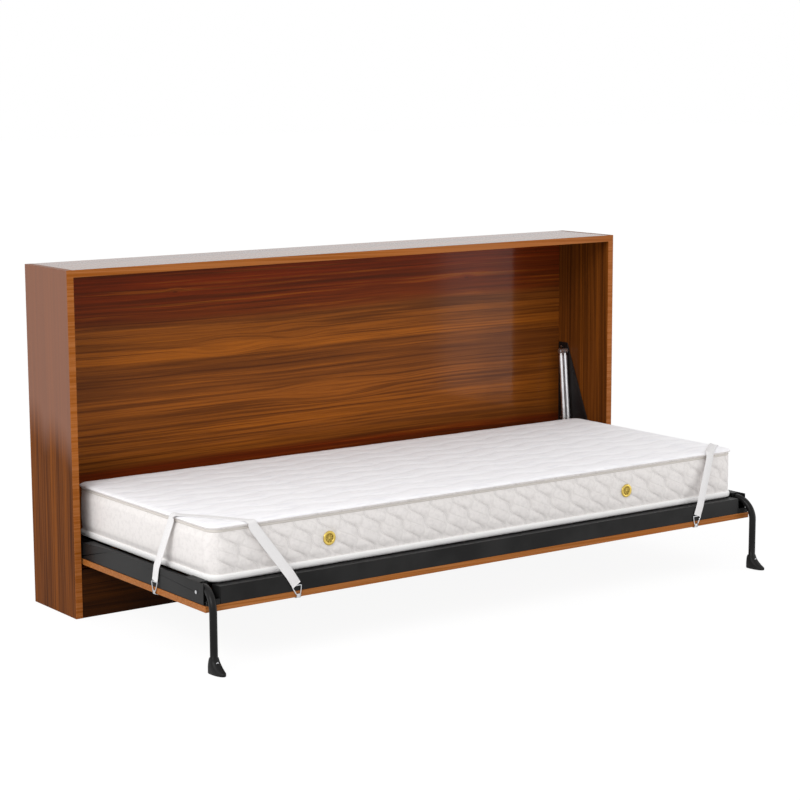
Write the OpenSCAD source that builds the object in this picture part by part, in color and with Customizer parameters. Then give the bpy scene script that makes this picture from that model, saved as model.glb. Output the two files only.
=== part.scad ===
// Horizontal fold-down wall bed. A shallow wooden cabinet carries a steel bed frame on two side hinges,
// twin gas struts lift it, and two swing legs stand under its front edge.
// The origin is on the wall face at floor level, midway along the cabinet. +X is right, the front is -Y.

/* [Mattress] */
// Length of the mattress
mat_len = 2000; // [1800:10:2200]
// Width of the mattress
mat_w = 800; // [750:10:950]
// Thickness of the mattress between its taped edges
mat_t = 155; // [120:1:190]
// Rise of the crown above the taped edges
mat_crown = 9; // [4:1:12]
// Corner radius of the mattress in plan
mat_corner_r = 40; // [25:1:70]
// How far the border draws in between the tapes
mat_draw = 5; // [2:0.5:7]
// Height of the edge tapes
tape_h = 12; // [8:1:16]
// Pitch of the quilted channels along the front border
quilt_pitch = 80; // [60:1:100]
// Depth of the quilted channels
quilt_depth = 3; // [1:0.5:4]
// Diameter of the vent flanges
vent_d = 42; // [30:1:50]
// Distance of the left vent from the middle of the mattress
left_vent_x = 606; // [400:1:700]
// Distance of the right vent from the middle of the mattress
right_vent_x = 526; // [400:1:700]

/* [Corner straps] */
// Width of the webbing
strap_w = 30; // [20:1:40]
// Thickness of the webbing
strap_t = 1.6; // [1:0.1:2.5]
// Diameter of the hook wire
hook_wire_d = 3; // [2:0.1:3.5]
// Width of a hook across its bar
hook_w = 26; // [18:1:34]
// Distance of the end hooks behind the mattress front
end_hook_in = 248; // [200:1:320]
// Distance of the left strap's end crossing behind the mattress front
left_end_in = 206; // [120:1:260]
// Distance of the right strap's end crossing behind the mattress front
right_end_in = 100; // [80:1:260]
// Distance of the left strap's front crossing from the mattress end
left_front_in = 134; // [90:1:200]
// Distance of the right strap's front crossing from the mattress end
right_front_in = 120; // [90:1:200]
// Distance of the left front hook from the mattress end
left_hook_in = 258; // [160:1:320]
// Distance of the right front hook from the mattress end
right_hook_in = 198; // [160:1:320]

/* [Cabinet] */
// Thickness of the side and top boards
board_t = 22; // [18:1:30]
// Thickness of the back board
back_t = 9; // [6:1:12]
// Thickness of the kick board
kick_t = 16; // [10:1:17]
// Distance of the kick board behind the front edges
kick_setback = 2; // [1:1:6]
// Gap between the kick board and the face panel above it
kick_gap = 16; // [12:1:30]
// Thickness of the edge bands
band_t = 2; // [1:0.5:3]
// Space between a mattress end and the cabinet side, where the struts run
strut_bay = 43; // [43:1:70]
// Clear space behind the folded mattress
fold_gap = 29.5; // [25:0.5:60]
// Clear space above the folded legs
top_gap = 5; // [3:1:40]
// Diameter of the wall fixing holes
fix_d = 8; // [5:0.5:10]
// Diameter of the dowels
dowel_d = 8; // [6:1:10]
// Length of the dowels
dowel_len = 36; // [24:1:44]

/* [Face panel] */
// Thickness of the face panel
panel_t = 18; // [16:1:22]
// Height of its underside above the floor
panel_z = 164; // [150:1:200]
// Gap between the panel ends and the cabinet sides
panel_gap = 6; // [5.5:0.5:10]
// How far the folded panel sits back from the cabinet front
recess = 4; // [2:1:10]
// How far the panel reaches behind the hinge pivot
panel_behind = 30; // [28:1:34]

/* [Bed frame] */
// Height of the rails
rail_h = 50; // [46:1:60]
// Depth of the front and rear rails
rail_d = 40; // [30:1:50]
// Wall of the rails
rail_wall = 2; // [1.5:0.5:3]
// Thickness of the end channels
web_t = 2.5; // [2:0.5:3]
// How far the panel ends stand out past the end channels
panel_lip = 2; // [1:0.5:3]
// How far the front rail stands out past the mattress
front_lip = 28.5; // [20:0.5:32]
// How far the mattress reaches behind the hinge pivot
mat_behind = 82; // [75:1:90]
// Number of slats
slat_n = 14; // [8:1:18]
// Width of a slat
slat_w = 53; // [40:1:60]
// Thickness of a slat
slat_t = 8; // [6:1:10]
// Side of the square cross bars
bar_w = 30; // [20:1:32]

/* [Hinges] */
// Thickness of the hinge plates
plate_t = 4; // [3:0.5:4.5]
// Diameter of the hinge pivots
pivot_d = 12; // [10:0.5:12]
// Height of the pivots above the face panel
pivot_rise = 11; // [10:1:14]
// Wall of the hinge bushes
bush_wall = 2; // [1:0.5:2.5]
// Thickness of the hinge arms
arm_t = 5; // [4:0.5:8]
// Height of the hinge arms
arm_h = 40; // [30:1:44]

/* [Gas struts] */
// Diameter of the strut tubes
tube_d = 16; // [14:0.5:16.5]
// Wall of the strut tubes
tube_wall = 1.5; // [1:0.5:2]
// Length of the strut tubes
tube_len = 300; // [270:1:320]
// Diameter of the rods
rod_d = 8; // [6:0.5:9]
// Length of the rods between piston and lower eye
rod_len = 318; // [310:1:330]
// Diameter of the strut pins
strut_pin_d = 8; // [6:0.5:9]
// Height of the upper pin above the hinge pivot
strut_rise = 428; // [400:1:450]
// Distance of the upper pin in front of the back board
strut_back = 51; // [40:1:60]
// Distance of the lower pin behind the hinge pivot
anchor_behind = 145; // [135:1:150]

/* [Legs] */
// Diameter of the leg tube
leg_d = 22; // [18:1:24]
// Wall of the leg tube
leg_wall = 1.5; // [1:0.5:2.5]
// Centre-line radius of the leg bend
bend_r = 65; // [60:1:70]
// Outward lean of the leg bend, which sets the foot outside the arm
leg_lean = 7.5; // [0:7.5:7.5]
// Distance of the upright leg in front of the face panel
leg_out = 27; // [25:1:35]
// Height of the leg arm above the rail bottoms
arm_rise = 46; // [42:1:50]
// Length of the boot in front of the leg axis
toe_reach = 56.5; // [45:0.5:65]
// Width of the boot
boot_w = 34; // [32:1:38]
// Height of the boot
boot_h = 44; // [36:1:60]

/* [Clearances] */
// Radial running clearance of pins and shafts
run_clear = 0.05; // [0.03:0.01:0.1]
// Clearance of soft pieces over what they rest on
soft_gap = 0.5; // [0.3:0.1:1]
// Side clearance between parts that pass each other
pass_gap = 1; // [0.6:0.1:1.5]

/* [Hidden] */
$fn = 48;
hull_fn = 32;
cut = 1;

walnut = [0.42, 0.24, 0.12];
band_colour = [0.68, 0.42, 0.22];
black = [0.15, 0.145, 0.14];
steel = [0.72, 0.73, 0.75];
ticking = [0.92, 0.91, 0.92];
brass = [0.70, 0.58, 0.24];
beech = [0.84, 0.71, 0.50];
bronze = [0.62, 0.46, 0.25];

// Planes along X, counted from the middle
mat_x = mat_len / 2;
in_x = mat_x + strut_bay;
cab_x = in_x + board_t;
panel_x = in_x - panel_gap;
rail_x = panel_x - panel_lip;
web_x = rail_x - web_t;
plate_x = in_x - plate_t;
leg_x = web_x - pass_gap - leg_d / 2;
foot_x = leg_x + bend_r * sin(leg_lean);
arm_x0 = mat_x - arm_t;

// Heights
panel_top = panel_z + panel_t;
rail_top = panel_top + rail_h;
rail_mid = panel_top + rail_h / 2;
pivot_z = panel_top + pivot_rise;
mat_z = rail_top + soft_gap;
tape_top = mat_z + mat_t;
leg_arm_z = panel_top + arm_rise;
kick_h = panel_z - kick_gap;

// Planes along Y, from the wall forwards
cab_d = recess + panel_t + rail_h + soft_gap + mat_t + mat_crown + fold_gap + back_t;
pivot_y = -cab_d + recess + panel_t + pivot_rise;
mat_rear_y = pivot_y + mat_behind;
mat_front_y = mat_rear_y - mat_w;
front_y = mat_front_y - front_lip;
front_rail_in_y = front_y + rail_d;
rear_lip = 15;
rear_rail_y = mat_rear_y - rail_d + rear_lip;
panel_rear_y = pivot_y + panel_behind;
leg_y = front_y - leg_out;
toe_y = leg_y - toe_reach;
bend_y = leg_y + bend_r;
cab_h = pivot_z + pivot_y - toe_y + top_gap + board_t;

// The bend swings within this radius of the leg arm where it passes the front rail
swing_r = bend_r - sqrt(pow(bend_r - leg_d / 2, 2) - pow(bend_y - front_y, 2));
cap_t = 2;
rail_end_x = leg_x - swing_r - 3 * pass_gap - cap_t;

// Leg bearing and the stop pin behind it
bearing_len = 80;
bearing_front_y = bend_y + 5 * pass_gap;
bearing_rear_y = bearing_front_y + bearing_len;
bearing_wall = 3;
leg_pin_d = 6;
leg_pin_y = bearing_rear_y + leg_pin_d / 2 + pass_gap / 2;
leg_end_y = leg_pin_y + leg_pin_d / 2 + 5;
leg_pin_out = 6;
gusset_t = 3;
gusset_rear_y = bearing_rear_y + 5;
gusset_reach = 90;
gusset_foot = 20;
flange_front_y = leg_end_y + 5 * pass_gap;
web_front_y = front_y + 14;

// The front of each end rail stands up beside the leg's arm and slopes back to the rail's height
web_lip_z = leg_arm_z + leg_d / 2 + bearing_wall;
web_lip_y = front_y + 520;
web_slope_y = web_lip_y + 160;

// Hinge block, bush and pivot
block_w = 20;
block_front = 33;
block_behind = 27;
block_h = 38;
block_x = web_x - block_w;
flange_rear_y = pivot_y - block_front - pass_gap;
bush_r = pivot_d / 2 + bush_wall;
shoulder_r = 11;
nut_t = 6;
washer_t = 1.5;
lug_r = 26;

// Hinge arm
arm_lap = 145;
arm_end = 12;
arm_front_y = flange_rear_y - arm_lap;
anchor_y = pivot_y + anchor_behind;
arm_rear_y = anchor_y + arm_end;

// Strut line at rest, from the upper pin to the lower pin
strut_y = -back_t - strut_back;
strut_z = pivot_z + strut_rise;
strut_lean = atan((strut_y - anchor_y) / (strut_z - rail_mid));
strut_len = norm([strut_y - anchor_y, strut_z - rail_mid]);
strut_pitch = tube_d + 2.5;
strut_out_x = plate_x - 1.5 - tube_d / 2;
strut_xs = [strut_out_x, strut_out_x - strut_pitch];
eye_r = 9;
eye_w = 14;
eye_neck = 16;
tube_head = 8;
guide_len = 16;
guide_lip = 2;
piston_len = 12;
pin_head_t = 1.6;

// Plate outline: its front edge runs beside the line from the pivot to the upper strut pin
plate_edge = 11;
plate_tip = 26;
plate_run = norm([strut_y - pivot_y, strut_rise]);
plate_u = [(strut_y - pivot_y) / plate_run, strut_rise / plate_run];
plate_n = [-plate_u[1], plate_u[0]];
plate_rear_y = -back_t - 5;
screw_d = 4.5;
screw_head_d = 9;
screw_head_h = 3;
screw_len = 20;
plate_screws = [
    [plate_rear_y - 14, strut_z + plate_tip - 14],
    [plate_rear_y - 14, pivot_z + 0.42 * strut_rise],
    [plate_rear_y - 14, panel_z + 14],
    [pivot_y + 60, panel_z + 14],
    [pivot_y + 60, pivot_z + 0.21 * strut_rise]
];

// Wall fixings and dowels
fix_in = 103;
fix_x = in_x - fix_in;
fix_top_z = cab_h - board_t - 43;
fix_low_z = 80;
fix_cap_d = 16;
fix_cap_t = 1.5;
dowel_side = 12;
dowel_ys = [-0.2 * cab_d, -0.5 * cab_d, -0.8 * cab_d];
kick_dowel_zs = [0.25 * kick_h, 0.75 * kick_h];
kick_y = -cab_d + kick_setback;

// Slats and the cradles that hold their ends
holder_w = slat_w + 8;
holder_d = 14;
holder_h = 16;
holder_wall = 3;
slat_gap = 0.5;
slat_first_x = rail_end_x - holder_w;
slat_xs = [for (i = [0 : slat_n - 1]) -slat_first_x + 2 * slat_first_x * i / (slat_n - 1)];
slat_y0 = front_rail_in_y + holder_wall + slat_gap;
slat_y1 = rear_rail_y - holder_wall - slat_gap;
bar_xs = [-0.5 * mat_x, 0, 0.5 * mat_x];

// Screws that hold the face panel to the frame
panel_screw_d = 4;
panel_screw_head_d = 9;
panel_screw_head_h = 2.5;
panel_screw_bite = 12;
gusset_screws = [[leg_x, front_y + 20], [rail_end_x - 20, gusset_rear_y - 30]];
flange_screws = [
    [mat_x + 12, flange_front_y + 160],
    [mat_x + 12, flange_rear_y - arm_lap - 30]
];
bearing_screw_y = bearing_front_y + 8;
bearing_screw_z = leg_arm_z - leg_d / 2 - 4;
bearing_screw_d = 5;
bearing_screw_head_d = 10;
bearing_screw_head_h = 2;
bearing_screw_len = 18;

// Leg ring and boot
leg_ring_h = 12;
boot_wall = 6;
boot_sole = 8;
boot_collar = 8;
toe_h = 13;
toe_r = 14;
rivet_d = 5;
rivet_head_d = 9;
rivet_head_t = 1.5;
rivet_z = 30;

// Vents
vent_t = 4;
vent_z = mat_z + mat_t / 2;
vent_hole_d = 6;
vent_y = mat_front_y + mat_draw - soft_gap;

// Straps: places where they cross the edges and where their hooks hold
strap_lift = soft_gap + strap_t / 2;
strap_end_z = panel_z + 32;
left_strap = [
    mat_front_y + end_hook_in, mat_front_y + left_end_in, mat_x - left_front_in, mat_x - left_hook_in
];
right_strap = [
    mat_front_y + end_hook_in, mat_front_y + right_end_in, mat_x - right_front_in, mat_x - right_hook_in
];
hook_reach = 14;
hook_drop = 5;
hook_bend = hook_wire_d / 2 + 2 * soft_gap;
hook_fn = 12;

module box(x0, x1, y0, y1, z0, z1) {
    translate([x0, y0, z0]) cube([x1 - x0, y1 - y0, z1 - z0]);
}

module on_left() {
    mirror([1, 0, 0]) children();
}

module on_both() {
    children();
    on_left() children();
}

// A round bar along X, Y or Z
module x_bar(x0, x1, d, y, z) {
    translate([x0, y, z]) rotate([0, 90, 0]) cylinder(d = d, h = x1 - x0);
}

module y_bar(y0, y1, d, x, z) {
    translate([x, y0, z]) rotate([-90, 0, 0]) cylinder(d = d, h = y1 - y0);
}

module z_bar(z0, z1, d, x, y) {
    translate([x, y, z0]) cylinder(d = d, h = z1 - z0);
}

// Cabinet

module dowel_holes_in_side() {
    hole_d = dowel_d + 2 * run_clear;
    for (y = dowel_ys) x_bar(in_x - cut, in_x + dowel_side, hole_d, y, cab_h - board_t / 2);
    for (z = kick_dowel_zs) x_bar(in_x - cut, in_x + dowel_side, hole_d, kick_y + kick_t / 2, z);
}

module side_panel() {
    color(walnut) difference() {
        box(in_x, cab_x, -cab_d + band_t, 0, 0, cab_h);
        dowel_holes_in_side();
        for (p = plate_screws) {
            x_bar(in_x - cut, plate_x + screw_len + pass_gap, screw_d + 2 * run_clear, p[0], p[1]);
        }
    }
}

module left_side_panel() {
    on_left() side_panel();
}

module right_side_panel() {
    side_panel();
}

module top_panel() {
    color(walnut) difference() {
        box(-in_x, in_x, -cab_d + band_t, 0, cab_h - board_t, cab_h);
        on_both() for (y = dowel_ys) {
            x_bar(in_x + dowel_side - dowel_len - pass_gap, in_x + cut, dowel_d + 2 * run_clear,
                y, cab_h - board_t / 2);
        }
    }
}

module back_panel() {
    color(walnut) difference() {
        box(-in_x, in_x, -back_t, 0, 0, cab_h - board_t);
        for (x = [-fix_x, fix_x], z = [fix_low_z, fix_top_z]) y_bar(-back_t - cut, cut, fix_d, x, z);
    }
}

module kick_panel() {
    color(walnut) difference() {
        box(-in_x, in_x, kick_y, kick_y + kick_t, 0, kick_h);
        on_both() for (z = kick_dowel_zs) {
            x_bar(in_x + dowel_side - dowel_len - pass_gap, in_x + cut, dowel_d + 2 * run_clear,
                kick_y + kick_t / 2, z);
        }
    }
}

module cabinet_edge_bands() {
    color(band_colour) {
        on_both() box(in_x, cab_x, -cab_d, -cab_d + band_t, 0, cab_h);
        box(-in_x, in_x, -cab_d, -cab_d + band_t, cab_h - board_t, cab_h);
    }
}

module cabinet_dowels() {
    color(beech) on_both() {
        for (y = dowel_ys) {
            x_bar(in_x + dowel_side - dowel_len, in_x + dowel_side, dowel_d, y, cab_h - board_t / 2);
        }
        for (z = kick_dowel_zs) {
            x_bar(in_x + dowel_side - dowel_len, in_x + dowel_side, dowel_d, kick_y + kick_t / 2, z);
        }
    }
}

module wall_fixing_caps() {
    color(walnut) for (x = [-fix_x, fix_x], z = [fix_low_z, fix_top_z]) {
        y_bar(-back_t - fix_cap_t, -back_t, fix_cap_d, x, z);
    }
}

// Hinges

module hinge_plate() {
    low = [pivot_y, pivot_z] + plate_edge * plate_n;
    tip = [strut_y, strut_z] + plate_edge * plate_n + plate_tip * plate_u;
    color(black) difference() {
        union() {
            translate([plate_x, 0, 0]) rotate([90, 0, 90]) linear_extrude(plate_t)
                polygon([low, tip, [plate_rear_y, tip[1]], [plate_rear_y, panel_z], [pivot_y, panel_z]]);
            x_bar(plate_x, in_x, 2 * lug_r, pivot_y, pivot_z);
        }
        x_bar(plate_x - cut, in_x + cut, pivot_d, pivot_y, pivot_z);
        x_bar(plate_x - cut, in_x + cut, strut_pin_d, strut_y, strut_z);
        for (p = plate_screws) {
            x_bar(plate_x - cut, in_x + cut, screw_d + 2 * run_clear, p[0], p[1]);
            translate([plate_x, p[0], p[1]]) rotate([0, 90, 0])
                cylinder(d1 = screw_head_d, d2 = screw_d, h = screw_head_h);
        }
    }
}

module left_hinge_plate() {
    on_left() hinge_plate();
}

module right_hinge_plate() {
    hinge_plate();
}

module hinge_plate_screws() {
    color(steel) on_both() for (p = plate_screws) {
        translate([plate_x, p[0], p[1]]) rotate([0, 90, 0]) {
            cylinder(d1 = screw_head_d, d2 = screw_d, h = screw_head_h);
            cylinder(d = screw_d, h = screw_len);
        }
    }
}

module pivot_bolt() {
    nut_x = block_x - pass_gap / 2 - washer_t - nut_t;
    color(steel) {
        x_bar(nut_x - 2, in_x, pivot_d, pivot_y, pivot_z);
        x_bar(rail_x + pass_gap / 2, plate_x, 2 * shoulder_r, pivot_y, pivot_z);
    }
}

module left_pivot_bolt() {
    on_left() pivot_bolt();
}

module right_pivot_bolt() {
    pivot_bolt();
}

module pivot_nuts() {
    washer_x = block_x - pass_gap / 2 - washer_t;
    color(steel) on_both() difference() {
        union() {
            x_bar(washer_x, washer_x + washer_t, 2 * shoulder_r, pivot_y, pivot_z);
            translate([washer_x - nut_t, pivot_y, pivot_z]) rotate([0, 90, 0])
                cylinder(r = shoulder_r - 1, h = nut_t, $fn = 6);
        }
        x_bar(washer_x - nut_t - cut, washer_x + washer_t + cut, pivot_d, pivot_y, pivot_z);
    }
}

module strut_top_pin() {
    color(steel) {
        x_bar(mat_x + 1.5, in_x, strut_pin_d, strut_y, strut_z);
        x_bar(mat_x + 1.5, mat_x + 1.5 + pin_head_t, strut_pin_d + 5, strut_y, strut_z);
    }
}

module left_strut_top_pin() {
    on_left() strut_top_pin();
}

module right_strut_top_pin() {
    strut_top_pin();
}

// Face panel

module panel_screw_holes(z0) {
    on_both() for (p = concat(gusset_screws, flange_screws)) {
        z_bar(z0, panel_top + gusset_t + cut, panel_screw_d + 2 * run_clear, p[0], p[1]);
    }
}

module bed_panel() {
    color(walnut) difference() {
        box(-panel_x + band_t, panel_x - band_t, front_y + band_t, panel_rear_y - band_t, panel_z, panel_top);
        panel_screw_holes(panel_top - panel_screw_bite - pass_gap);
    }
}

module bed_panel_edge_bands() {
    color(band_colour) {
        box(-panel_x, panel_x, front_y, front_y + band_t, panel_z, panel_top);
        box(-panel_x, panel_x, panel_rear_y - band_t, panel_rear_y, panel_z, panel_top);
        on_both() box(panel_x - band_t, panel_x, front_y + band_t, panel_rear_y - band_t, panel_z, panel_top);
    }
}

module panel_screw(seat_z, p) {
    z_bar(panel_top - panel_screw_bite, seat_z + cut, panel_screw_d, p[0], p[1]);
    z_bar(seat_z, seat_z + panel_screw_head_h, panel_screw_head_d, p[0], p[1]);
}

module panel_screws() {
    color(steel) on_both() {
        for (p = gusset_screws) panel_screw(panel_top + gusset_t, p);
        for (p = flange_screws) panel_screw(panel_top + web_t, p);
    }
}

// Bed frame

module rail_tube(x, y) {
    difference() {
        box(-x, x, y, y + rail_d, panel_top, rail_top);
        box(-x - cut, x + cut, y + rail_wall, y + rail_d - rail_wall,
            panel_top + rail_wall, rail_top - rail_wall);
    }
}

module front_rail() {
    color(black) rail_tube(rail_end_x, front_y);
}

module rail_end_caps() {
    plug = rail_wall + run_clear;
    color(black) on_both() {
        box(rail_end_x, rail_end_x + cap_t, front_y, front_y + rail_d, panel_top, rail_top);
        box(rail_end_x - 12, rail_end_x + cut, front_y + plug, front_y + rail_d - plug,
            panel_top + plug, rail_top - plug);
    }
}

module rear_rail() {
    color(black) rail_tube(arm_x0, rear_rail_y);
}

module end_rail() {
    color(black) difference() {
        union() {
            translate([web_x, 0, 0]) rotate([90, 0, 90]) linear_extrude(web_t) polygon([
                [web_front_y, panel_top], [pivot_y + block_behind, panel_top],
                [pivot_y + block_behind, rail_top], [web_slope_y, rail_top],
                [web_lip_y, web_lip_z], [web_front_y, web_lip_z]
            ]);
            box(mat_x, rail_x, flange_front_y, flange_rear_y, rail_top - web_t, rail_top);
            box(mat_x, rail_x, flange_front_y, flange_rear_y, panel_top, panel_top + web_t);
        }
        x_bar(web_x - cut, rail_x + cut, 2 * bush_r, pivot_y, pivot_z);
        x_bar(web_x - cut, rail_x + cut, bearing_screw_d + 2 * run_clear, bearing_screw_y, bearing_screw_z);
        for (p = flange_screws) {
            z_bar(panel_top - cut, panel_top + web_t + cut, panel_screw_d + 2 * run_clear, p[0], p[1]);
        }
    }
}

module left_end_rail() {
    on_left() end_rail();
}

module right_end_rail() {
    end_rail();
}

module corner_gusset() {
    inner = rail_end_x + cap_t;
    lip_h = leg_arm_z - swing_r - 3 * pass_gap - panel_top;
    color(black) difference() {
        union() {
            translate([0, 0, panel_top]) linear_extrude(gusset_t) polygon([
                [web_x, front_y], [inner, front_y], [inner, front_rail_in_y],
                [inner - gusset_reach, front_rail_in_y], [inner - gusset_foot, gusset_rear_y],
                [web_x, gusset_rear_y]
            ]);
            box(inner, web_x, front_y, front_y + gusset_t, panel_top, panel_top + lip_h);
        }
        for (p = gusset_screws) {
            z_bar(panel_top - cut, panel_top + gusset_t + cut, panel_screw_d + 2 * run_clear, p[0], p[1]);
        }
    }
}

module left_corner_gusset() {
    on_left() corner_gusset();
}

module right_corner_gusset() {
    corner_gusset();
}

module hinge_arm() {
    color(black) difference() {
        union() {
            box(arm_x0, mat_x, arm_front_y, anchor_y, rail_mid - arm_h / 2, rail_mid + arm_h / 2);
            box(arm_x0, mat_x, anchor_y - cut, arm_rear_y, rail_mid - arm_end, rail_mid + arm_end);
        }
        x_bar(arm_x0 - cut, mat_x + cut, strut_pin_d + 2 * run_clear, anchor_y, rail_mid);
    }
}

module left_hinge_arm() {
    on_left() hinge_arm();
}

module right_hinge_arm() {
    hinge_arm();
}

module hinge_block() {
    color(black) difference() {
        box(block_x, web_x, pivot_y - block_front, pivot_y + block_behind, panel_top, panel_top + block_h);
        x_bar(block_x - cut, web_x + cut, 2 * bush_r, pivot_y, pivot_z);
    }
}

module left_hinge_block() {
    on_left() hinge_block();
}

module right_hinge_block() {
    hinge_block();
}

module hinge_bushes() {
    color(bronze) on_both() difference() {
        x_bar(block_x, rail_x, 2 * bush_r, pivot_y, pivot_z);
        x_bar(block_x - cut, rail_x + cut, pivot_d + 2 * run_clear, pivot_y, pivot_z);
    }
}

module cross_bars() {
    color(black) for (x = bar_xs) difference() {
        box(x - bar_w / 2, x + bar_w / 2, front_rail_in_y, rear_rail_y, panel_top, panel_top + bar_w);
        box(x - bar_w / 2 + rail_wall, x + bar_w / 2 - rail_wall, front_rail_in_y - cut, rear_rail_y + cut,
            panel_top + rail_wall, panel_top + bar_w - rail_wall);
    }
}

module slats() {
    color(beech) for (x = slat_xs) {
        box(x - slat_w / 2, x + slat_w / 2, slat_y0, slat_y1, rail_top - slat_t, rail_top);
    }
}

module slat_holder(x, y, dir) {
    inside = y + dir * holder_wall;
    mouth = y + dir * holder_d;
    difference() {
        box(x - holder_w / 2, x + holder_w / 2, min(y, mouth), max(y, mouth), rail_top - holder_h, rail_top);
        box(x - slat_w / 2 - slat_gap, x + slat_w / 2 + slat_gap, min(inside, mouth + dir * cut),
            max(inside, mouth + dir * cut), rail_top - slat_t, rail_top + cut);
    }
}

module slat_holders() {
    color(black) for (x = slat_xs) {
        slat_holder(x, front_rail_in_y, 1);
        slat_holder(x, rear_rail_y, -1);
    }
}

module leg_bearing() {
    inner_x = leg_x - leg_d / 2 - 2 * bearing_wall;
    color(black) difference() {
        box(inner_x, web_x, bearing_front_y, bearing_rear_y, panel_top + gusset_t,
            leg_arm_z + leg_d / 2 + bearing_wall);
        y_bar(bearing_front_y - cut, bearing_rear_y + cut, leg_d + 2 * run_clear, leg_x, leg_arm_z);
        x_bar(rail_x - bearing_screw_len - pass_gap, web_x + cut, bearing_screw_d + 2 * run_clear,
            bearing_screw_y, bearing_screw_z);
    }
}

module left_leg_bearing() {
    on_left() leg_bearing();
}

module right_leg_bearing() {
    leg_bearing();
}

module bearing_screws() {
    color(steel) on_both() {
        x_bar(rail_x - bearing_screw_len, rail_x + cut, bearing_screw_d, bearing_screw_y, bearing_screw_z);
        x_bar(rail_x, rail_x + bearing_screw_head_h, bearing_screw_head_d, bearing_screw_y, bearing_screw_z);
    }
}

// Mattress. Each outline point is [x, y, outward nx, outward ny, share of the quilting], counter-clockwise.

corner_steps = 4;
quilt_n = round((mat_len - 2 * mat_corner_r) / quilt_pitch);
wave_steps = 4;

function corner_points(cx, cy, a0) = [
    for (i = [0 : corner_steps])
        let (a = a0 + 90 * i / corner_steps)
        [cx + mat_corner_r * cos(a), cy + mat_corner_r * sin(a), cos(a), sin(a), 0]
];

// The border lies flat behind each vent
wave_step = (mat_len - 2 * mat_corner_r) / (quilt_n * wave_steps);
vent_flat = vent_d / 2 + wave_step;

function near_vent(x) = min(abs(x + left_vent_x), abs(x - right_vent_x)) < vent_flat;

function front_points() = [
    for (i = [1 : quilt_n * wave_steps - 1])
        let (x = -mat_x + mat_corner_r + wave_step * i)
        [x, mat_front_y, 0, -1, near_vent(x) ? 0 : 1]
];

mat_outline = concat(
    corner_points(-mat_x + mat_corner_r, mat_front_y + mat_corner_r, 180),
    front_points(),
    corner_points(mat_x - mat_corner_r, mat_front_y + mat_corner_r, 270),
    corner_points(mat_x - mat_corner_r, mat_rear_y - mat_corner_r, 0),
    corner_points(-mat_x + mat_corner_r, mat_rear_y - mat_corner_r, 90)
);

// The crown climbs most of its rise on a shoulder around the edge
shoulder_in = mat_corner_r + 80;
shoulder_rise = 0.8 * mat_crown;

// Each ring is [height, inset, share of the quilting, phase of the waves]
mat_rings = [
    [0, tape_h, 0, 0],
    [tape_h / 2, 0, 0, 0],
    [tape_h, mat_draw / 2, 0, 0],
    [0.36 * mat_t, mat_draw, 1, -97],
    [0.64 * mat_t, mat_draw, 1, 97],
    [mat_t - tape_h, mat_draw / 2, 0, 0],
    [mat_t - tape_h / 2, 0, 0, 0],
    [mat_t, tape_h, 0, 0],
    [mat_t + shoulder_rise, shoulder_in, 0, 0]
];

function quilt_wave(x, phase) = quilt_depth * cos(360 * x / quilt_pitch + phase);

// Past the corner radius a ring keeps the outline's straight sides and closes its corners to a point
function ring_point(p, ring) =
    let (
        inset = ring[1] - p[4] * ring[2] * quilt_wave(p[0], ring[3]),
        keep = min(inset, mat_corner_r),
        deep = max(inset - mat_corner_r, 0)
    )
    [
        p[0] - p[2] * keep - sign(p[0]) * min(deep, abs(p[0])),
        p[1] - p[3] * keep - sign(p[1] - mat_mid_y) * deep,
        mat_z + ring[0]
    ];

mat_mid_y = (mat_front_y + mat_rear_y) / 2;
mat_n = len(mat_outline);
mat_points = concat(
    [for (ring = mat_rings) for (p = mat_outline) ring_point(p, ring)],
    [[0, mat_mid_y, mat_z], [0, mat_mid_y, tape_top + mat_crown]]
);
mat_last = (len(mat_rings) - 1) * mat_n;
mat_faces = concat(
    [for (k = [0 : len(mat_rings) - 2]) for (i = [0 : mat_n - 1])
        [k * mat_n + i, (k + 1) * mat_n + i, k * mat_n + (i + 1) % mat_n]],
    [for (k = [0 : len(mat_rings) - 2]) for (i = [0 : mat_n - 1])
        [(k + 1) * mat_n + i, (k + 1) * mat_n + (i + 1) % mat_n, k * mat_n + (i + 1) % mat_n]],
    [for (i = [0 : mat_n - 1]) [i, (i + 1) % mat_n, len(mat_rings) * mat_n]],
    [for (i = [0 : mat_n - 1]) [mat_last + (i + 1) % mat_n, mat_last + i, len(mat_rings) * mat_n + 1]]
);

module mattress() {
    color(ticking) polyhedron(mat_points, mat_faces);
}

module mattress_vents() {
    color(brass) for (x = [-left_vent_x, right_vent_x]) translate([x, vent_y, vent_z]) rotate([90, 0, 0]) {
        difference() {
            cylinder(d = vent_d, h = vent_t);
            translate([0, 0, vent_t / 2]) cylinder(d = vent_d - 14, h = vent_t);
            for (a = [0 : 60 : 300]) rotate(a) translate([vent_hole_d * 1.4, 0, -cut])
                cylinder(d = vent_hole_d, h = vent_t + 2 * cut);
        }
    }
}

// Corner straps. Each station is [centre, outward normal]; the webbing's width lies across the route.

function top_z(inset) = tape_top + shoulder_rise * (inset - tape_h) / (shoulder_in - tape_h);

strap_edge_z = top_z(tape_h + strap_w) + 2 * strap_lift;

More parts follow.
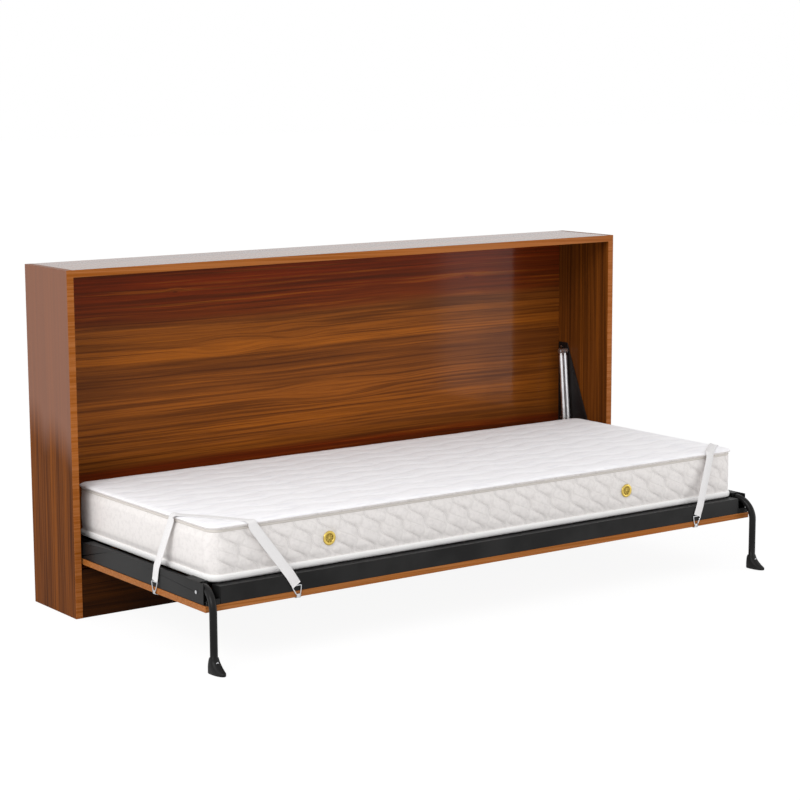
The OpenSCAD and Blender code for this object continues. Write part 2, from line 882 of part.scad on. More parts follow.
function strap_route(s) = [
    [[rail_x + strap_lift, s[0], strap_end_z], [1, 0, 0]],
    [[rail_x + strap_lift, s[0], web_lip_z - 6], [1, 0, 0]],
    [[rail_x + 2 * strap_lift, s[0] - 2, web_lip_z + 2 * strap_lift], [1, 0, 1]],
    [[mat_x + 2 * strap_lift, s[0] - 8, mat_z + 30], [1, 0, 0.2]],
    [[mat_x + 3.5 * strap_lift, s[1] + 10, tape_top - tape_h], [1, 0, 0.1]],
    [[mat_x + 3.5 * strap_lift, s[1], tape_top + strap_lift], [1, 0, 1]],
    [[mat_x - tape_h, s[1] - tape_h, strap_edge_z], [0, 0, 1]],
    [[(mat_x + s[2]) / 2, (mat_front_y + s[1]) / 2, strap_mid_z(s)], [0, 0, 1]],
    [[s[2] + tape_h, mat_front_y + tape_h, strap_edge_z], [0, 0, 1]],
    [[s[2], mat_front_y - 3.5 * strap_lift, tape_top + strap_lift], [0, -1, 1]],
    [[s[2] - 6, mat_front_y - 3.5 * strap_lift, tape_top - tape_h], [0, -1, 0.1]],
    [[s[3] + 24, mat_front_y - 2 * strap_lift, mat_z + 30], [0, -1, 0.2]],
    [[s[3] + 12, front_y - 2 * strap_lift, rail_top + 2 * strap_lift], [0, -1, 1]],
    [[s[3] + 10, front_y - strap_lift, rail_top - 6], [0, -1, 0]],
    [[s[3], front_y - strap_lift, strap_end_z], [0, -1, 0]]
];

function strap_mid_z(s) =
    top_z(min((mat_x - s[2]) / 2, (s[1] - mat_front_y) / 2) + strap_w) + strap_lift;

function unit(v) = v / norm(v);

function strap_corners(route) = [
    for (i = [0 : len(route) - 1])
        let (
            along = unit(route[min(i + 1, len(route) - 1)][0] - route[max(i - 1, 0)][0]),
            across = unit(cross(route[i][1], along)) * strap_w / 2,
            out = unit(cross(along, across)) * strap_t / 2
        )
        each [for (k = [[1, 1], [-1, 1], [-1, -1], [1, -1]]) route[i][0] + k[0] * across + k[1] * out]
];

function strap_faces(n) = concat(
    [[0, 1, 2], [0, 2, 3], [4 * n - 2, 4 * n - 3, 4 * n - 4], [4 * n - 1, 4 * n - 2, 4 * n - 4]],
    [for (i = [0 : n - 2]) for (k = [0 : 3]) [4 * i + k, 4 * i + 4 + k, 4 * i + (k + 1) % 4]],
    [for (i = [0 : n - 2]) for (k = [0 : 3]) [4 * i + 4 + k, 4 * i + 4 + (k + 1) % 4, 4 * i + (k + 1) % 4]]
);

module corner_strap(s) {
    route = strap_route(s);
    color(ticking) polyhedron(strap_corners(route), strap_faces(len(route)));
}

module left_corner_strap() {
    on_left() corner_strap(left_strap);
}

module right_corner_strap() {
    corner_strap(right_strap);
}

// A bent wire hook: the panel edge is the plane y = 0 with +y outwards, the panel's underside is z = 0
module strap_hook() {
    face = hook_wire_d / 2 + soft_gap;
    bar_z = strap_end_z - panel_z - hook_wire_d / 2 - hook_drop;
    low_z = -hook_wire_d / 2 - soft_gap;
    x_bar(hook_bend - hook_w / 2, hook_w / 2 - hook_bend, hook_wire_d, face, bar_z);
    for (side = [0, 1]) mirror([side, 0, 0]) {
        translate([hook_w / 2 - hook_bend, face, bar_z - hook_bend]) rotate([90, 0, 0]) hook_elbow();
        z_bar(low_z + hook_bend, bar_z - hook_bend, hook_wire_d, hook_w / 2, face);
        translate([hook_w / 2, face - hook_bend, low_z + hook_bend]) rotate([0, 90, 0]) hook_elbow();
        y_bar(-hook_reach, face - hook_bend, hook_wire_d, hook_w / 2, low_z);
    }
}

module hook_elbow() {
    rotate_extrude(angle = 90) translate([hook_bend, 0]) circle(d = hook_wire_d);
}

module strap_hooks(s) {
    color(steel) {
        translate([panel_x, s[0], panel_z]) rotate(-90) strap_hook($fn = hook_fn);
        translate([s[3], front_y, panel_z]) rotate(180) strap_hook($fn = hook_fn);
    }
}

module left_strap_hooks() {
    on_left() strap_hooks(left_strap);
}

module right_strap_hooks() {
    strap_hooks(right_strap);
}

// Legs

// The bend leans outwards, and a ring sleeves its joint with the upright leg
module leg_core(d, ring_d, ring_h, y1, z0) {
    joint_z = leg_arm_z - bend_r * cos(leg_lean);
    translate([leg_x, bend_y, leg_arm_z]) rotate([0, -leg_lean, 0]) {
        y_bar(0, y1 - bend_y, d, 0, 0);
        translate([0, 0, -bend_r]) rotate([90, 0, -90]) rotate_extrude(angle = 90) translate([bend_r, 0])
            circle(d = d);
    }
    z_bar(joint_z - ring_h / 2, joint_z + ring_h / 2, ring_d, foot_x, leg_y);
    z_bar(z0, joint_z, d, foot_x, leg_y);
}

module leg_tube() {
    in_d = leg_d - 2 * leg_wall;
    color(black) difference() {
        leg_core(leg_d, leg_d + 2 * leg_wall, leg_ring_h, leg_end_y, boot_sole + run_clear);
        leg_core(in_d, in_d + 2 * cut, leg_ring_h - 2 * leg_wall, leg_end_y + cut, boot_sole - cut);
        x_bar(leg_x - leg_d, leg_x + leg_d, leg_pin_d, leg_pin_y, leg_arm_z);
        y_bar(leg_y - leg_d, leg_y + leg_d, rivet_d, foot_x, rivet_z);
    }
}

module leg_boot() {
    collar_d = leg_d + 2 * boot_wall;
    color(black) difference() {
        union() {
            z_bar(0, boot_h, collar_d, foot_x, leg_y);
            hull() {
                translate([foot_x, leg_y, 0]) cylinder(d = boot_w, h = toe_h, $fn = hull_fn);
                translate([foot_x, toe_y + toe_r, 0]) cylinder(r = toe_r, h = toe_h, $fn = hull_fn);
                translate([foot_x, leg_y, 0]) cylinder(d = collar_d, h = boot_h - boot_collar, $fn = hull_fn);
            }
        }
        z_bar(boot_sole, boot_h + cut, leg_d + 2 * run_clear, foot_x, leg_y);
        y_bar(leg_y - boot_w, leg_y + boot_w, rivet_d, foot_x, rivet_z);
        y_bar(toe_y, leg_y - leg_d / 2 - boot_wall, rivet_head_d + 2 * run_clear, foot_x, rivet_z);
    }
}

module leg_pin() {
    reach = leg_d / 2;
    color(steel)
        x_bar(leg_x - reach - leg_pin_out, leg_x + reach - run_clear, leg_pin_d, leg_pin_y, leg_arm_z);
}

module boot_rivet() {
    reach = leg_d / 2 + boot_wall;
    color(steel) {
        y_bar(leg_y - reach, leg_y + reach, rivet_d, foot_x, rivet_z);
        y_bar(leg_y - reach - rivet_head_t, leg_y - reach, rivet_head_d, foot_x, rivet_z);
        y_bar(leg_y + reach, leg_y + reach + rivet_head_t, rivet_head_d, foot_x, rivet_z);
    }
}

module left_leg_tube() {
    on_left() leg_tube();
}

module left_leg_boot() {
    on_left() leg_boot();
}

module left_leg_pin() {
    on_left() leg_pin();
}

module left_boot_rivet() {
    on_left() boot_rivet();
}

module right_leg_tube() {
    leg_tube();
}

module right_leg_boot() {
    leg_boot();
}

module right_leg_pin() {
    leg_pin();
}

module right_boot_rivet() {
    boot_rivet();
}

// Gas struts, drawn in a frame whose origin is the upper pin and whose -Z runs down the strut

module strut_frame() {
    for (x = strut_xs) translate([x, strut_y, strut_z]) rotate([-strut_lean, 0, 0]) children();
}

module strut_eye(z) {
    translate([-eye_w / 2, 0, z]) rotate([0, 90, 0]) cylinder(r = eye_r, h = eye_w);
}

module strut_eye_bore(z) {
    translate([-eye_w, 0, z]) rotate([0, 90, 0]) cylinder(d = strut_pin_d + 2 * run_clear, h = 2 * eye_w);
}

module strut_tubes() {
    color(steel) strut_frame() difference() {
        union() {
            translate([0, 0, -eye_neck - tube_len]) cylinder(d = tube_d, h = tube_len);
            translate([0, 0, -eye_neck - cut]) cylinder(d = tube_d - 4, h = eye_neck);
            strut_eye(0);
        }
        translate([0, 0, -eye_neck - tube_len - cut])
            cylinder(d = tube_d - 2 * tube_wall, h = tube_len - tube_head + cut);
        strut_eye_bore(0);
    }
}

module strut_guides() {
    color(black) strut_frame() difference() {
        translate([0, 0, -eye_neck - tube_len]) union() {
            cylinder(d = tube_d - 2 * tube_wall - run_clear, h = guide_len);
            translate([0, 0, -guide_lip]) cylinder(d = tube_d, h = guide_lip);
        }
        translate([0, 0, -eye_neck - tube_len - guide_lip - cut])
            cylinder(d = rod_d + 2 * run_clear, h = guide_len + guide_lip + 2 * cut);
    }
}

module strut_rods() {
    color(steel) strut_frame() difference() {
        union() {
            translate([0, 0, -strut_len]) cylinder(d = rod_d, h = rod_len);
            translate([0, 0, -strut_len + rod_len - piston_len])
                cylinder(d = tube_d - 2 * tube_wall - 2 * run_clear, h = piston_len);
            strut_eye(-strut_len);
        }
        strut_eye_bore(-strut_len);
    }
}

module strut_lower_pin() {
    color(steel) x_bar(mat_x + 0.3, strut_out_x + eye_w / 2 + 1, strut_pin_d, anchor_y, rail_mid);
}

module left_strut_tubes() {
    on_left() strut_tubes();
}

module left_strut_guides() {
    on_left() strut_guides();
}

module left_strut_rods() {
    on_left() strut_rods();
}

module left_strut_lower_pin() {
    on_left() strut_lower_pin();
}

module right_strut_tubes() {
    strut_tubes();
}

module right_strut_guides() {
    strut_guides();
}

module right_strut_rods() {
    strut_rods();
}

module right_strut_lower_pin() {
    strut_lower_pin();
}

left_side_panel();
right_side_panel();
top_panel();
back_panel();
kick_panel();
cabinet_edge_bands();
cabinet_dowels();
wall_fixing_caps();
left_hinge_plate();
right_hinge_plate();
hinge_plate_screws();
left_pivot_bolt();
right_pivot_bolt();
pivot_nuts();
left_strut_top_pin();
right_strut_top_pin();
bed_panel();
bed_panel_edge_bands();
panel_screws();
front_rail();
rail_end_caps();
rear_rail();
left_end_rail();
right_end_rail();
left_corner_gusset();
right_corner_gusset();
left_hinge_arm();
right_hinge_arm();
left_hinge_block();
right_hinge_block();
hinge_bushes();
cross_bars();
slats();
slat_holders();
left_leg_bearing();
right_leg_bearing();
bearing_screws();
mattress();
mattress_vents();
left_corner_strap();
right_corner_strap();
left_strap_hooks();
right_strap_hooks();
left_leg_tube();
left_leg_boot();
left_leg_pin();
left_boot_rivet();
right_leg_tube();
right_leg_boot();
right_leg_pin();
right_boot_rivet();
left_strut_tubes();
left_strut_guides();
left_strut_rods();
left_strut_lower_pin();
right_strut_tubes();
right_strut_guides();
right_strut_rods();
right_strut_lower_pin();
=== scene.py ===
"""Looks of a horizontal fold-down wall bed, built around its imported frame.

The boards, rails and fittings keep their own meshes and get finishes. The mattress, straps, hooks, vents,
boots and leg tubes are surfaces worked out here.

Lengths are in metres: +X is right, the front is -Y, +Z is up.
"""

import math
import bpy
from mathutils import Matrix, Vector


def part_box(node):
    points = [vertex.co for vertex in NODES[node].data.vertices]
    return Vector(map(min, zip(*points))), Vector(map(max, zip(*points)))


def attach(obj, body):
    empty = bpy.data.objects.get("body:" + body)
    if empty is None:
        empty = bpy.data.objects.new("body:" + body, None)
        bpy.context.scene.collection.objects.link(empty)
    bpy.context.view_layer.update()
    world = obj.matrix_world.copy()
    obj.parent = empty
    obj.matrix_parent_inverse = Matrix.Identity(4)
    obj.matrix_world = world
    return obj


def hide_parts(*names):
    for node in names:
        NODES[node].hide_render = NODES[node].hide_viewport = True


bl_info = {
    "name": "Fold-down wall bed",
    "version": (1, 0, 0),
    "blender": (4, 5, 0),
    "location": "View3D > Sidebar > Wall bed",
    "description": "Dresses the frame of a fold-down wall bed with its mattress, straps, boots and finishes",
    "category": "Object",
}

import bpy
import numpy as np
from bpy.props import FloatProperty, FloatVectorProperty, PointerProperty
from mathutils import Matrix

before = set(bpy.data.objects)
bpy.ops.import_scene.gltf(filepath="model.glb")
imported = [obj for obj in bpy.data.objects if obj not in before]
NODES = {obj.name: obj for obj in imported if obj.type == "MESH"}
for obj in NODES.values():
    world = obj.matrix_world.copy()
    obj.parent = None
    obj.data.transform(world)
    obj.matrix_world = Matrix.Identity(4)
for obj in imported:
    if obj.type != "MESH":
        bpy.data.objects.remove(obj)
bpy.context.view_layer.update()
SIDES = {"left": -1.0, "right": 1.0}

MAT_LO, MAT_HI = (np.array(c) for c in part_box("mattress"))
PANEL_LO, PANEL_HI = (np.array(c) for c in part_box("bed_panel_edge_bands"))
RAIL_LO, RAIL_HI = (np.array(c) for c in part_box("front_rail"))
END_RAIL_X, _, END_RAIL_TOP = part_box("right_end_rail")[1]

# Y of the end hook, Y on the end edge, X on the front edge and X of the front hook, as on the right side
STRAP_PLACES = {"left": (-0.712, -0.754, 0.866, 0.742), "right": (-0.712, -0.860, 0.880, 0.802)}
STRAP_END_Z = PANEL_LO[2] + 0.036


def size(label, text, value):
    """A length that a user may change."""
    return FloatProperty(name=label, description=text, default=value, unit="LENGTH", precision=4)


def tint(label, text, value):
    """A colour that a user may change, in linear values."""
    return FloatVectorProperty(
        name=label, description=text, default=value, subtype="COLOR", size=3, min=0, max=1
    )


class WallBedSizes(bpy.types.PropertyGroup):
    """Sizes of the soft and bent pieces."""

    quilt_pitch: size("Border pitch", "Distance between the sewn waves of the front border", 0.080)
    quilt_cap: size("Border swell", "How far the border swells between its seams", 0.0060)
    top_pitch: size("Top pitch", "Distance between the sewn waves of the top", 0.080)
    top_cap: size("Top swell", "How far the top swells between its seams", 0.0028)
    corner_r: size("Corner radius", "Corner radius of the mattress in plan", 0.040)
    strap_w: size("Strap width", "Width of the webbing", 0.030)
    strap_t: size("Strap thickness", "Thickness of the webbing", 0.0016)
    hook_wire: size("Hook wire", "Diameter of the hook wire", 0.0034)
    vent_r: size("Vent radius", "Radius of the mattress vents", 0.021)
    board_ease: size("Board edges", "Rounding of the board edges", 0.0008)
    steel_ease: size("Steel edges", "Rounding of the steel edges", 0.0010)


class WallBedColours(bpy.types.PropertyGroup):
    """Colours of the finishes."""

    # The walnut colours are brightened for the back panel to offset the cabinet's shade, as painted light;
    # the other boards scale them down by their tone.
    walnut_dark: tint("Walnut, dark", "Darkest streaks of the walnut", (0.060, 0.0155, 0.0042))
    walnut_red: tint("Walnut, red", "Red brown of the walnut", (0.250, 0.0310, 0.0045))
    walnut_mid: tint("Walnut, middle", "Middle brown of the walnut", (0.285, 0.0810, 0.0125))
    walnut_light: tint("Walnut, light", "Golden streaks of the walnut", (0.450, 0.1270, 0.0110))
    # Painted reflection: this mauve grey, towards which the upper left side turns, stands in for a bright
    # surround mirrored in its coat.
    walnut_painted_sheen: tint("Walnut, grey", "Mauve sheen of the left side", (0.255, 0.1280, 0.0900))
    band: tint("Edge band", "Colour of the edge bands", (0.345, 0.0940, 0.0085))
    # Painted light: the same edge band as the cabinet's, made lighter for the light that falls on the face
    # panel's edge.
    face_band_painted_light: tint("Face band", "Colour of the face panel's edge bands", (0.365, 0.1150, 0.0180))
    black: tint("Black steel", "Colour of the coated steel", (0.0075, 0.0071, 0.0070))
    plate: tint("Hinge plates", "Colour of the coated hinge plates", (0.0150, 0.0110, 0.0105))
    plastic: tint("Black plastic", "Colour of the moulded plastic", (0.0095, 0.0092, 0.0090))
    ticking: tint("Ticking", "Colour of the mattress top", (0.945, 0.935, 0.955))
    border: tint("Border", "Colour of the mattress border", (0.815, 0.780, 0.762))
    tape: tint("Tape", "Colour of the lower tape", (0.965, 0.955, 0.945))
    groove: tint("Groove tape", "Colour of the tape under the top", (0.690, 0.645, 0.595))
    webbing: tint("Webbing", "Colour of the straps", (0.850, 0.835, 0.835))
    zinc: tint("Zinc", "Colour of the plated fixings", (0.620, 0.625, 0.640))
    brass: tint("Brass", "Colour of the vents", (0.720, 0.530, 0.130))
    bronze: tint("Bronze", "Colour of the hinge bushes", (0.420, 0.270, 0.110))
    beech: tint("Beech", "Colour of the slats and dowels", (0.560, 0.370, 0.190))


# Shader expressions


class Val:
    """A socket of a finish. Operators on it add Math nodes."""

    def __init__(self, finish, socket):
        self.finish, self.socket = finish, socket

    def __add__(self, other):
        return self.finish.math("ADD", self, other)

    def __sub__(self, other):
        return self.finish.math("SUBTRACT", self, other)

    def __rsub__(self, other):
        return self.finish.math("SUBTRACT", other, self)

    def __mul__(self, other):
        return self.finish.math("MULTIPLY", self, other)

    def __truediv__(self, other):
        return self.finish.math("DIVIDE", self, other)

    __radd__, __rmul__ = __add__, __mul__

    def abs(self):
        return self.finish.math("ABSOLUTE", self)

    def sin(self):
        return self.finish.math("SINE", self)

    def nearest_whole(self):
        """Distance to the nearest whole number."""
        return self.finish.math("PINGPONG", self, 0.5)

    def step(self, low, high):
        """Runs smoothly from 0 at low to 1 at high, either way round."""
        turned = low > high
        settings = {"interpolation_type": "SMOOTHSTEP"}
        ends = {0: self, 1: min(low, high), 2: max(low, high)}
        made = self.finish.node("ShaderNodeMapRange", settings, ends)
        return 1 - made if turned else made


class Finish:
    """A material with one Principled shader."""

    def __init__(self, name, **fixed):
        self.material = bpy.data.materials.new(name)
        self.material.use_nodes = True
        self.nodes = self.material.node_tree.nodes
        self.links = self.material.node_tree.links
        self.shader = self.nodes["Principled BSDF"]
        for key, value in fixed.items():
            self.set(key.replace("_", " ").title().replace("Ior", "IOR"), value)

    def set(self, socket, value):
        """Puts a value or a Val on one of the shader's sockets."""
        self.feed(self.shader.inputs[socket], value)

    def feed(self, socket, value):
        """Links a Val to a socket, or writes a plain value on it."""
        if isinstance(value, Val):
            self.links.new(value.socket, socket)
        else:
            socket.default_value = value

    def node(self, kind, settings=None, sockets=None, out=0):
        """Adds a node: its settings first, then the values or links of its sockets."""
        made = self.nodes.new(kind)
        for key, value in (settings or {}).items():
            if key == "stops":
                ramp = made.color_ramp.elements
                while len(ramp) < len(value):
                    ramp.new(1.0)
                for element, (place, colour) in zip(ramp, value):
                    element.position = place
                    element.color = (*colour, 1.0)
            else:
                setattr(made, key, value)
        for key, value in (sockets or {}).items():
            self.feed(made.inputs[key], value)
        return Val(self, made.outputs[out])

    def math(self, operation, *values):
        """Adds a Math node."""
        return self.node("ShaderNodeMath", {"operation": operation}, dict(enumerate(values)))

    def axes(self, kind="Object"):
        """The three values of Object coordinates or of the UV map."""
        place = self.node("ShaderNodeTexCoord", out={"Object": 3, "UV": 2}[kind])
        return [self.node("ShaderNodeSeparateXYZ", None, {0: place}, out=i) for i in range(3)]

    def noise(self, x, y, z, detail=2.0, rough=0.5):
        """Cloud noise about 0.5 at a point given by three values."""
        place = self.node("ShaderNodeCombineXYZ", None, {0: x, 1: y, 2: z})
        sockets = {"Vector": place, "Scale": 1.0, "Detail": detail, "Roughness": rough}
        return self.node("ShaderNodeTexNoise", None, sockets)

    def ramp(self, value, stops):
        """A colour from a ramp of (place, colour) stops."""
        return self.node("ShaderNodeValToRGB", {"stops": stops}, {0: value})

    def mix(self, share, a, b):
        """Mixes two colours."""
        a, b = (c if isinstance(c, Val) else (*c, 1.0) for c in (a, b))
        return self.node("ShaderNodeMix", {"data_type": "RGBA"}, {0: share, 6: a, 7: b}, out=2)

    def bump(self, height, distance, strength):
        """Bends the shader's normal by a height."""
        sockets = {"Height": height, "Distance": distance, "Strength": strength}
        self.set("Normal", self.node("ShaderNodeBump", None, sockets))


def blend(a, b, share):
    """A colour between two colours."""
    return tuple(float(x + (y - x) * share) for x, y in zip(a, b))


# Finishes

# Knots shorter than this have a dark core
SMALL_KNOT = 0.10
KNIT_PITCH, STITCH_PITCH, TAPE_RIB, WEBBING_RIB = 0.0016, 0.0045, 0.0022, 0.0024


def walnut(name, along, across, seed, stops, span, gloss, tone=1.0, knots=(), painted_light=None):
    """Walnut laminate: a ramp of stops over span across the grain, with streaks, fine lines and pores that
    run along the grain, under a clear coat of some gloss. tone darkens its colours, and is set board by board
    to how light falls on each, so it carries painted light and shade. Each knot opens the grain about a
    point.
    The last argument paints light and shade into the colour: it turns the colour towards a given colour past
    a place on an axis."""
    colours = bpy.context.scene.wall_bed_colours
    dark, light = (blend((0, 0, 0), c, tone) for c in (colours.walnut_dark, colours.walnut_light))
    stops = [(at, blend((0, 0, 0), colour, tone)) for at, colour in stops]
    f = Finish(name, specular_ior_level=gloss * 0.3, coat_weight=gloss, coat_roughness=0.10)
    place = f.axes()
    g, a = place[along], sum((place[i] * k for i, k in across[1:]), place[across[0][0]] * across[0][1])
    core = None
    for at_g, at_a, length, width in knots:
        p, q = (g - at_g) / length, (a - at_a) / width
        far = p * p + q * q
        a = a - q * far.step(1.0, 0.0) * (width * 0.72)
        if length < SMALL_KNOT:
            spot = far.step(0.06, 0.0)
            core = spot if core is None else core + spot
    drift = f.noise(g * 0.7 + seed, a * 2.0, seed, 2.0) - 0.5
    sway = f.noise(g * 3.0 + seed, a * 14.0, seed + 3.0, 1.0) - 0.5
    bent = a + drift * 0.040 + sway * 0.007
    figure = f.ramp((bent - span[0]) / (span[1] - span[0]), stops)
    broad = f.noise(g * 0.9, bent * 20.0, seed + 17.0, 2.0)
    streak = f.noise(g * 1.1, bent * 70.0, seed + 5.0, 4.0, 0.6)
    lines = f.noise(g * 0.8, bent * 110.0, seed + 7.0, 2.0)
    fine = f.noise(g * 3.0, bent * 240.0, seed + 9.0, 3.0, 0.6)
    pores = f.noise(g * 26.0, bent * 1150.0, seed + 13.0, 1.0)
    colour = f.mix(broad.step(0.58, 0.34) * 0.30 + streak.step(0.53, 0.37) * 0.40, figure, dark)
    colour = f.mix(streak.step(0.53, 0.68) * 0.50, colour, light)
    colour = f.mix(lines.step(0.45, 0.37) * 0.50, colour, dark)
    colour = f.mix(fine.step(0.54, 0.38) * 0.30 + pores.step(0.36, 0.26) * 0.22, colour, dark)
    if core is not None:
        colour = f.mix(core * 0.55, colour, dark)
    # Painted light and shade: the colour turns towards a painted reflection on the left side and a painted
    # shadow on the back.
    if painted_light:
        axis, low, high, share, shade = painted_light
        cloud = f.noise(place[0] * 3.0, place[1] * 9.0, place[2] * 1.4, 2.0) - 0.5
        past = (place[axis] + cloud * 0.20 - place[1] * 0.35).step(low, high)
        colour = f.mix(past * share, colour, shade)
    f.set("Base Color", colour)
    f.set("Roughness", 0.40 + fine * 0.14)
    f.bump(pores * 0.4 + fine, 0.00010, 0.4)
    return f.material


def banded(name, band):
    """Edge band: orange brown with faint lines along it."""
    light = blend(band, bpy.context.scene.wall_bed_colours.walnut_light, 0.7)
    f = Finish(name, specular_ior_level=0.08)
    x, y, z = f.axes()
    lines = f.noise(x * 6.0 + z * 260.0, y * 260.0 + z * 6.0, x * 1.5, 3.0)
    cloud = f.noise(x * 3.0, y * 5.0, z * 3.0, 2.0)
    colour = f.mix(lines.step(0.35, 0.65), blend(band, (0, 0, 0), 0.22), blend(band, (1, 0.8, 0.5), 0.05))
    f.set("Base Color", f.mix(cloud.step(0.40, 0.70) * 0.35, colour, light))
    f.set("Roughness", 0.30 + lines * 0.12)
    f.bump(lines, 0.0001, 0.4)
    return f.material


def coated(name, colour, grain, depth, low, high):
    """Powder coat or moulded plastic: a fine orange-peel bump and slow changes of gloss and tone."""
    f = Finish(name, specular_ior_level=0.15)
    x, y, z = f.axes()
    peel = f.noise(x * grain, y * grain, z * grain, 2.0)
    cloud = f.noise(x * 7.0, y * 7.0, z * 7.0, 3.0)
    low_tone, high_tone = blend(colour, (0, 0, 0), 0.2), blend(colour, (1, 1, 1), 0.006)
    f.set("Base Color", f.mix(cloud.step(0.35, 0.65), low_tone, high_tone))
    f.set("Roughness", low + cloud * (high - low))
    f.bump(peel, depth, 0.5)
    return f.material


def plated(name, colour, low, high, brush=0.0):
    """Plated or polished metal: cloudy gloss, with faint lines along Z where brush is set."""
    f = Finish(name, metallic=1.0)
    x, y, z = f.axes()
    cloud = f.noise(x * 60.0, y * 60.0, z * 60.0, 3.0)
    lines = f.noise(x * 900.0, y * 900.0, z * 14.0, 2.0)
    f.set("Base Color", f.mix(cloud.step(0.3, 0.7), blend(colour, (0, 0, 0), 0.14), colour))
    f.set("Roughness", low + cloud * (high - low) + lines * brush)
    f.bump(cloud + lines * brush, 0.00005, 0.4)
    return f.material


def beech(name):
    """Plain beech plywood with short flecks."""
    colours = bpy.context.scene.wall_bed_colours
    f = Finish(name, roughness=0.55)
    x, y, z = f.axes()
    lines = f.noise(x * 160.0, y * 4.0, z * 160.0, 3.0)
    flecks = f.noise(x * 420.0, y * 60.0, z * 420.0, 1.0)
    colour = f.mix(lines.step(0.35, 0.65), blend(colours.beech, (0.3, 0.15, 0.05), 0.25), colours.beech)
    fleck = blend(colours.beech, (0.2, 0.1, 0.04), 0.5)
    f.set("Base Color", f.mix(flecks.step(0.60, 0.72) * 0.5, colour, fleck))
    f.bump(lines, 0.0001, 0.4)
    return f.material


def sine(value):
    """Sine of a socket's value."""
    return value.sin()


def knit(u, v):
    """Height of a fine knit on a UV map in metres."""
    return sine(u * (math.tau / KNIT_PITCH)) * sine(v * (math.tau / KNIT_PITCH))


def top_ticking(name):
    """Mattress top: knitted ticking with woven motifs, sewn in waves."""
    colours, sizes = bpy.context.scene.wall_bed_colours, bpy.context.scene.wall_bed_sizes
    f = Finish(name, roughness=0.85, sheen_weight=0.15, sheen_roughness=0.5)
    u, v, _ = f.axes("UV")
    seam = top_wave(u, v, sine).nearest_whole() * sizes.top_pitch
    motif = f.noise(u * 11.0, v * 80.0, 3.0, 2.0)
    leaf = f.noise(u * 24.0 + v * 25.0, v * 90.0, 8.0, 2.0)
    stitch = sine(u * (math.tau / STITCH_PITCH)).step(-0.6, 0.3)
    line = seam.step(0.0021, 0.0009)
    woven = motif.step(0.52, 0.64) * 0.6 + leaf.step(0.58, 0.68) * 0.4
    colour = f.mix(woven * 0.55, colours.ticking, blend(colours.ticking, (0.62, 0.62, 0.70), 0.55))
    # Painted shade along the top's seams.
    colour = f.mix(seam.step(0.011, 0.0) * 0.14, colour, blend(colours.ticking, (0.45, 0.44, 0.50), 0.6))
    f.set("Base Color", f.mix(line * stitch * 0.5, colour, colours.tape))
    f.bump(knit(u, v) * 0.12 + woven * 0.45 - line * stitch * 0.5, 0.0007, 0.7)
    return f.material


def border_ticking(name):
    """Mattress border: knitted ticking. The front and the back are sewn in slanting waves with fainter leaf
    lines between them, and the ends are plain."""
    colours, sizes = bpy.context.scene.wall_bed_colours, bpy.context.scene.wall_bed_sizes
    f = Finish(name, roughness=0.85, sheen_weight=0.15, sheen_roughness=0.5)
    u, v, _ = f.axes("UV")
    place = f.axes()
    seam = border_wave(u, v, sine).nearest_whole() * sizes.quilt_pitch
    sewn = place[0].abs().step(MAT_HI[0] - 0.006, MAT_HI[0] - 0.030)
    stitch = sine(v * (math.tau / STITCH_PITCH)).step(-0.6, 0.3)
    line = seam.step(0.0021, 0.0009) * sewn
    leaf = (border_wave(u, v, sine, LEAF_SWAY) + 0.5).nearest_whole() * sizes.quilt_pitch
    pillow = (seam.step(0.0, 0.012) * 2.8 + leaf.step(0.0, 0.010) * 1.2) * sewn
    woven = f.noise(u * 70.0, v * 70.0, 5.0, 3.0, 0.6).step(0.46, 0.62)
    colour = f.mix(woven * 0.45, colours.border, blend(colours.border, (0.58, 0.55, 0.54), 0.5))
    # Painted shade in the creases along the seams and the leaf lines.
    painted_crease_shade = (seam.step(0.007, 0.0) * 0.42 + leaf.step(0.005, 0.0) * 0.20) * sewn
    colour = f.mix(painted_crease_shade, colour, blend(colours.border, (0.42, 0.38, 0.36), 0.6))
    f.set("Base Color", f.mix(line * stitch * 0.5, colour, colours.tape))
    f.bump(knit(u, v) * 0.12 + woven * 0.30 + pillow - line * stitch * 0.5, 0.0007, 0.7)
    return f.material


def ribbed_tape(name, colour, rib):
    """Woven tape or webbing: ribs across the UV map's u, with a little fuzz."""
    f = Finish(name, roughness=0.8, sheen_weight=0.2, sheen_roughness=0.5)
    u, v, _ = f.axes("UV")
    ribs = sine(u * (math.tau / rib))
    ends = sine(v * (math.tau / (rib * 1.3)))
    fuzz = f.noise(u * 500.0, v * 500.0, 1.0, 2.0)
    f.set("Base Color", f.mix(ribs.step(-1.0, 0.6), blend(colour, (0.35, 0.34, 0.34), 0.30), colour))
    f.bump(ribs * 0.5 + ends * 0.35 + fuzz * 0.4, 0.0004, 0.6)
    return f.material


# Meshes


def grid_faces(nu, nv, wrap_u=False, wrap_v=False):
    """Quads of an nu by nv grid of points, and each corner's column and row counted without wrapping."""
    columns, rows = (n if wrap else n - 1 for n, wrap in ((nu, wrap_u), (nv, wrap_v)))
    i, j = np.meshgrid(np.arange(columns), np.arange(rows), indexing="ij")
    square = (0, 0), (1, 0), (1, 1), (0, 1)
    corners = np.stack([np.stack([i + a, j + b], -1) for a, b in square], 2).reshape(-1, 4, 2)
    return (corners[..., 0] % nu) * nv + corners[..., 1] % nv, corners


